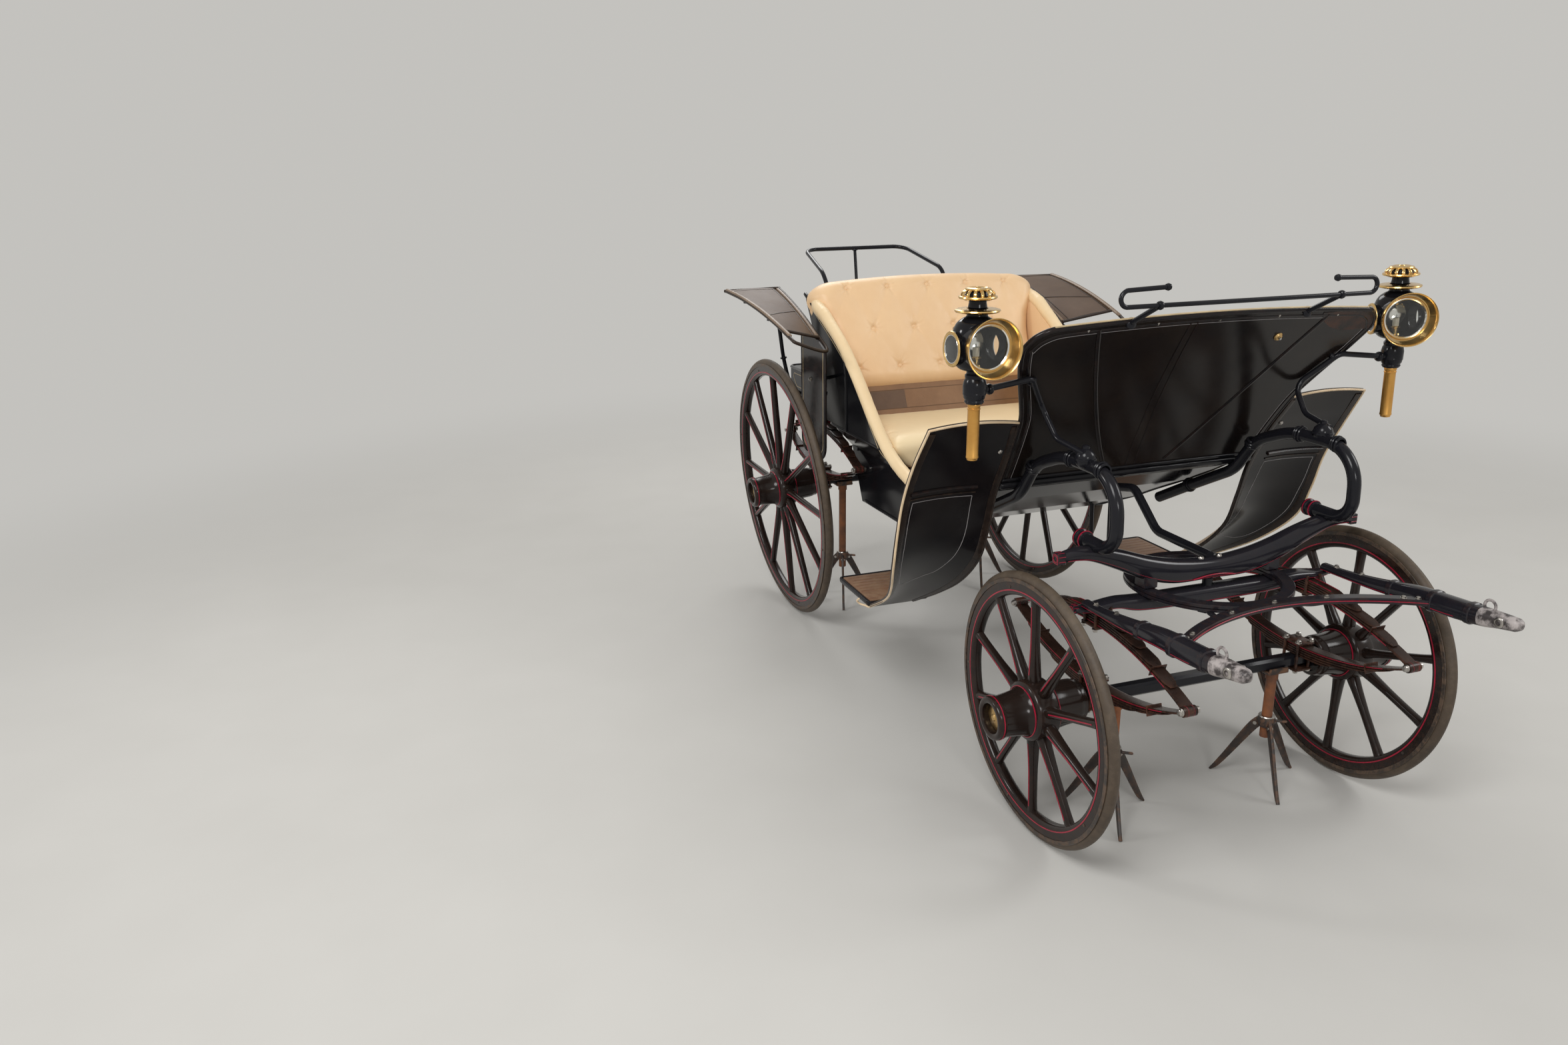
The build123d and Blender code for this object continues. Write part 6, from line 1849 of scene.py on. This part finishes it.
tread = Form()
tread.block((424, -978, 382), (627, -734, 386.5), 0, 1.5)
tread_edge = ((520, -990), (637, -990), (637, -722), (412, -722), (412, -990), (519, -990))
edge = rounded([at(x, y, 379) for x, y in tread_edge], 18 * MM, 6)
tread.rod(edge, oval(4.0, 7.6, 12, 3.0), up=UP, finish=1)
for k in range(9):
    y = -962 + k * 26
    tread.rod([at(434, y, 386), at(617, y, 386)], raised(9.0, 1.6), up=UP, tips=False)
both("step_tread_cover", tread, [tread_cover, iron_paint], "carriage")

# Tub mouldings: a bead along the side's upper edge, one along its foot, and lines on the boot


def tub_x(z):
    """Half width of the tub's side, upright above its widest place."""
    return wall_half(z) if z < LEDGE_Z + FLARE_UP else TUB_TOP_HALF


TOP_EDGE = [
    (12, 1315), (-90, 1269), (-190, 1219), (-285, 1169), (-375, 1115), (-440, 1060), (-500, 1000),
    (-556, 942), (-610, 885), (-680, 824), (-760, 778), (-860, 749), (-960, 737), (-1090, 746), (-1220, 776),
    (-1340, 837), (-1440, 915),
]
FOOT_EDGE = [
    (-1440, 892), (-1340, 831), (-1250, 775), (-1130, 714), (-1010, 655), (-880, 600), (-760, 556),
    (-560, 548), (-370, 545),
]
tub = Form()
top_run = smooth([at(tub_x(z) - 1, y, z) for y, z in TOP_EDGE], 6)
tub.rod(top_run, circle(7.5, 12), tips=True)
inner_line = smooth([at(tub_x(z) + 0.3, y + 12, z - 15) for y, z in TOP_EDGE[1:-1]], 6)
tub.rod(inner_line, raised(2.2, 0.8), up=(1, 0, 0), finish=1)
foot_run = smooth([at(tub_x(z) + 0.5, y, z + 4) for y, z in FOOT_EDGE], 5)
tub.rod(foot_run, circle(6.0, 12), tips=True)
HIP_EDGE = ((-372, 1100), (-366, 1000), (-352, 900), (-338, 826))
hip_run = smooth([at(wall_half(z) + 0.5, y, z) for y, z in HIP_EDGE], 5)
tub.rod(hip_run, circle(5.0, 10), tips=True)
ledge_run = [at(LEDGE_HALF + 0.5, y, LEDGE_Z) for y in np.linspace(-180, -690, 20)]
tub.rod(ledge_run, circle(4.5, 10), tips=True)
both("tub_mouldings", tub, [body_varnish, gold_line], "carriage")

boot = Form()
BOOT_HALF = 385
corner = ((BOOT_HALF, -130), (BOOT_HALF, 470), (372, 492), (350, 500))
top_bead = [at(-x, y, 948) for x, y in corner] + [at(x, y, 948) for x, y in reversed(corner)]
boot.rod(top_bead, circle(6.5, 12), tips=True)
for side in (-1, 1):
    boot.rod(line_of((side * BOOT_HALF, -130, 843), (side * BOOT_HALF, 424, 843)), circle(6.0, 10), tips=True)
BOOT_PANEL = ((-110, 870), (400, 870), (438, 900), (438, 925), (-110, 925))
for side in (-1, 1):
    panel = [at(side * 385.2, y, z) for y, z in BOOT_PANEL]
    boot.rod(rounded(panel + panel[:1], 0.01)[:-1], raised(2.2, 0.8), up=(side, 0, 0), loop=True, finish=1)
back_panel_line = [at(x, 500.2, z) for x, z in ((-330, 905), (330, 905), (330, 930), (-330, 930))]
boot.rod(back_panel_line, raised(2.2, 0.8), up=(0, 1, 0), loop=True, finish=1)
flange = [(10, 0), (21, 0), (21, 4), (13, 9), (10, 9)]
for side in (-1, 1):
    for y in (170, 440):
        boot.turned(flange, at(side * 175, y, 950), sides=28, loop=True, finish=2)
        bolt_head(boot, at(side * 175 + 16, y, 954), (0, 0, 1), 4.0, 4.0, 3)
make("boot_mouldings", boot, [body_varnish, gold_line, iron_paint, steel], "carriage")

groom_rail = Form()
collar = [(9, -5), (13.5, -4), (14.5, 0), (13.5, 4), (9, 5)]
for side in (-1, 1):
    groom_rail.turned(collar, at(side * 243, 293, 1105), (side * 0.12, 0, 1), 28, loop=True)
groom_rail.turned([(7, -4), (12, -3), (13, 0), (12, 3), (7, 4)], at(0, 663, 1432), (0, 0.1, 1), 28, loop=True)
groom_rail.turned([(7, -4), (13, -3), (14, 0), (13, 3), (7, 4)], at(0, 612, 1092), (0, 0.1, 1), 28, loop=True)
board_edge = ((0, 235), (225, 235), (225, 610), (-225, 610), (-225, 235), (-1, 235))
edge = rounded([at(x, y, 1085) for x, y in board_edge], 45 * MM, 7)
groom_rail.rod(edge, circle(5.0, 10), finish=1)
make("groom_rail_collars", groom_rail, [iron_paint, body_varnish], "carriage")

# Axle stands: a tube with a light-rimmed collar, three flat pointed legs and a saddle
# Leg: distance out, height, width
STAND_LEG = [(14, 200, 24), (34, 178, 23), (64, 128, 20), (98, 68, 16), (126, 22, 12), (143, 2, 5)]


def axle_stand(form, x, y, axle_z):
    """One stand below an axle."""
    top = axle_z - AXLE_HALF
    foot = at(x, y, 0)
    form.turned([(0, 150), (15, 150), (15, top - 9), (0, top - 9)], foot, sides=32)
    collar = [(15, 186), (23, 186), (25, 189), (25, 212), (23, 216), (15, 216)]
    rim = [(15, 214), (22.5, 214.5), (24.5, 217), (22.5, 220), (15, 220)]
    for profile, number in ((collar, 1), (rim, 2)):
        form.turned(profile, foot, sides=40, loop=True, finish=number)
    form.turned([(15, top - 34), (18, top - 33), (18, top - 12), (15, top - 11)], foot, sides=32, loop=True)
    form.block((x - 36, y - 27, top - 10), (x + 36, y + 27, top - 0.4), 1, 2.5)
    for side in (-1, 1):
        form.block((x - 34, y + side * 24.5 - 3.5, top - 6), (x + 34, y + side * 24.5 + 3.5, top + 9), 1, 1.5)
    for k in range(3):
        turn = math.radians(120 * k + 40 + 90)
        out = np.array((math.cos(turn), math.sin(turn), 0.0))
        flat = np.array((-out[1], out[0], 0.0))
        run = smooth(STAND_LEG, 4)
        path = [foot + out * r * MM + np.array((0, 0, z * MM)) for r, z, _ in run]
        sizes = [(5.0, width * 0.62) for _, _, width in run]
        form.rod(path, oval(1, 1, 12, 5.0), sizes, up=out + np.array((0, 0, 0.6)), finish=1)
        spot = foot + out * 30 * MM + np.array((0, 0, 188 * MM))
        form.turned([(0, -7.5), (5.5, -7.5), (5.5, 7.5), (0, 7.5)], spot, flat, 10, finish=2)
    form.turned([(0, 196), (4, 196), (4, 208), (0, 208)], foot, sides=8, finish=1)
    grip = [at(x + 20, y - 14, 203), at(x + 44, y - 32, 203)]
    form.rod(grip, circle(4.2, 10), tips=True, finish=1)


STANDS = [
    ("rear_axle_stands", 330.0, 0.0, REAR_AXLE_Z, "carriage"),
    ("front_axle_stands", 270.0, FRONT_AXLE, FRONT_AXLE_Z, "fore_carriage"),
]
for name, x, y, axle_z, body in STANDS:
    stands = Form()
    for side in (-1, 1):
        axle_stand(stands, side * x, y, axle_z)
    make(name, stands, [rust, stand_black, steel], body, [name.replace("_axle", "")])

# Floor, light and camera

PALE = (0.55, 0.54, 0.515, 1)
FLOOR_RADIUS = 60.0
FLOOR_SIDES = 96


def placed(name, data, across, above, back, spot):
    """A lamp or camera with its own axes along the given directions."""
    thing = bpy.data.objects.new(name, data)
    placing = np.eye(4)
    placing[:3, 0], placing[:3, 1], placing[:3, 2], placing[:3, 3] = across, above, back, spot
    thing.matrix_world = Matrix(placing.tolist())
    bpy.context.scene.collection.objects.link(thing)
    return thing


floor_finish = bpy.data.materials.new("pale floor")
floor_finish.use_nodes = True
floor_tree = floor_finish.node_tree
where = node(floor_tree, "ShaderNodeTexCoord").outputs["Object"]
cloud = clouds(floor_tree, where, 3.0, 5.0)
plain = floor_tree.nodes["Principled BSDF"]
tones = (0.52, 0.51, 0.485, 1), (0.56, 0.55, 0.525, 1)
floor_tree.links.new(mixed(floor_tree, cloud, *tones), plain.inputs["Base Color"])
plain.inputs["Roughness"].default_value = 0.85
# beyond the object the floor runs into the pale backdrop
reach = node(floor_tree, "ShaderNodeVectorMath", {0: where}, operation="LENGTH").outputs["Value"]
fade = node(floor_tree, "ShaderNodeMapRange", {0: reach, 1: 2.2, 2: 6.5}, interpolation_type="SMOOTHERSTEP")
glow = node(floor_tree, "ShaderNodeEmission", {"Color": PALE, "Strength": 1.0})
blend = node(floor_tree, "ShaderNodeMixShader", {0: fade.outputs[0], 1: plain.outputs[0], 2: glow.outputs[0]})
floor_tree.links.new(blend.outputs[0], floor_tree.nodes["Material Output"].inputs["Surface"])
floor_mesh = bpy.data.meshes.new("floor")
disc = [(x, y, 0.0) for x, y in circle(FLOOR_RADIUS, FLOOR_SIDES)]
floor_mesh.from_pydata(disc, [], [tuple(range(FLOOR_SIDES))])
floor_mesh.materials.append(floor_finish)
floor = bpy.data.objects.new("floor", floor_mesh)
bpy.context.scene.collection.objects.link(floor)

# place, aim, size in metres, watts
AREA_LIGHTS = [
    ((-3.4, -3.2, 4.6), (0.0, -0.2, 0.8), 2.4, 150.0),
    ((4.2, -2.4, 3.8), (0.0, 0.0, 0.8), 2.2, 80.0),
    ((0.6, 4.2, 4.2), (0.0, 0.2, 0.9), 2.6, 80.0),
    ((-1.0, -5.2, 2.4), (0.2, -0.4, 0.9), 0.9, 30.0),
    ((-4.4, 0.8, 2.8), (-0.2, 0.2, 0.8), 0.7, 30.0),
]
for number, (place, aim, size, watts) in enumerate(AREA_LIGHTS):
    lamp_data = bpy.data.lights.new(f"soft_light_{number}", "AREA")
    lamp_data.shape = "DISK"
    lamp_data.size = size
    lamp_data.energy = watts
    away = unit(np.array(place) - np.array(aim))
    side = unit(np.cross(UP, away))
    placed(lamp_data.name, lamp_data, side, np.cross(away, side), away, place)

world = bpy.context.scene.world or bpy.data.worlds.new("studio")
bpy.context.scene.world = world
world.use_nodes = True
sky = world.node_tree
sky.nodes.clear()
rays = node(sky, "ShaderNodeLightPath")
seen = maths(sky, "MAXIMUM", rays.outputs["Is Camera Ray"], rays.outputs["Is Transmission Ray"])
seen = maths(sky, "MAXIMUM", seen, rays.outputs["Is Glossy Ray"])
direct = node(sky, "ShaderNodeBackground", {"Color": PALE, "Strength": 1.0})
ambient = node(sky, "ShaderNodeBackground", {"Color": (1.0, 0.98, 0.94, 1), "Strength": 0.5})
mixer = node(sky, "ShaderNodeMixShader", {0: seen, 1: ambient.outputs[0], 2: direct.outputs[0]})
sky.links.new(mixer.outputs[0], node(sky, "ShaderNodeOutputWorld").inputs[0])

# The photograph's viewpoint
EYE = np.array((-2.0828, -3.377, 1.7928))
YAW, PITCH, ROLL_TURN = -0.3343, 0.3026, -0.014
ahead = np.array((math.sin(-YAW) * math.cos(PITCH), math.cos(YAW) * math.cos(PITCH), -math.sin(PITCH)))
right = np.array((math.cos(-YAW), -math.sin(-YAW), 0.0))
above = np.cross(right, ahead)
c, s = math.cos(ROLL_TURN), math.sin(ROLL_TURN)
right, above = c * right + s * above, c * above - s * right
camera_data = bpy.data.cameras.new("photo_camera")
camera_data.sensor_fit = "HORIZONTAL"
camera_data.sensor_width = 36.0
camera_data.lens = 26.03
bpy.context.scene.camera = placed("photo_camera", camera_data, right, above, -ahead, EYE)
bpy.context.scene.view_settings.view_transform = "Standard"
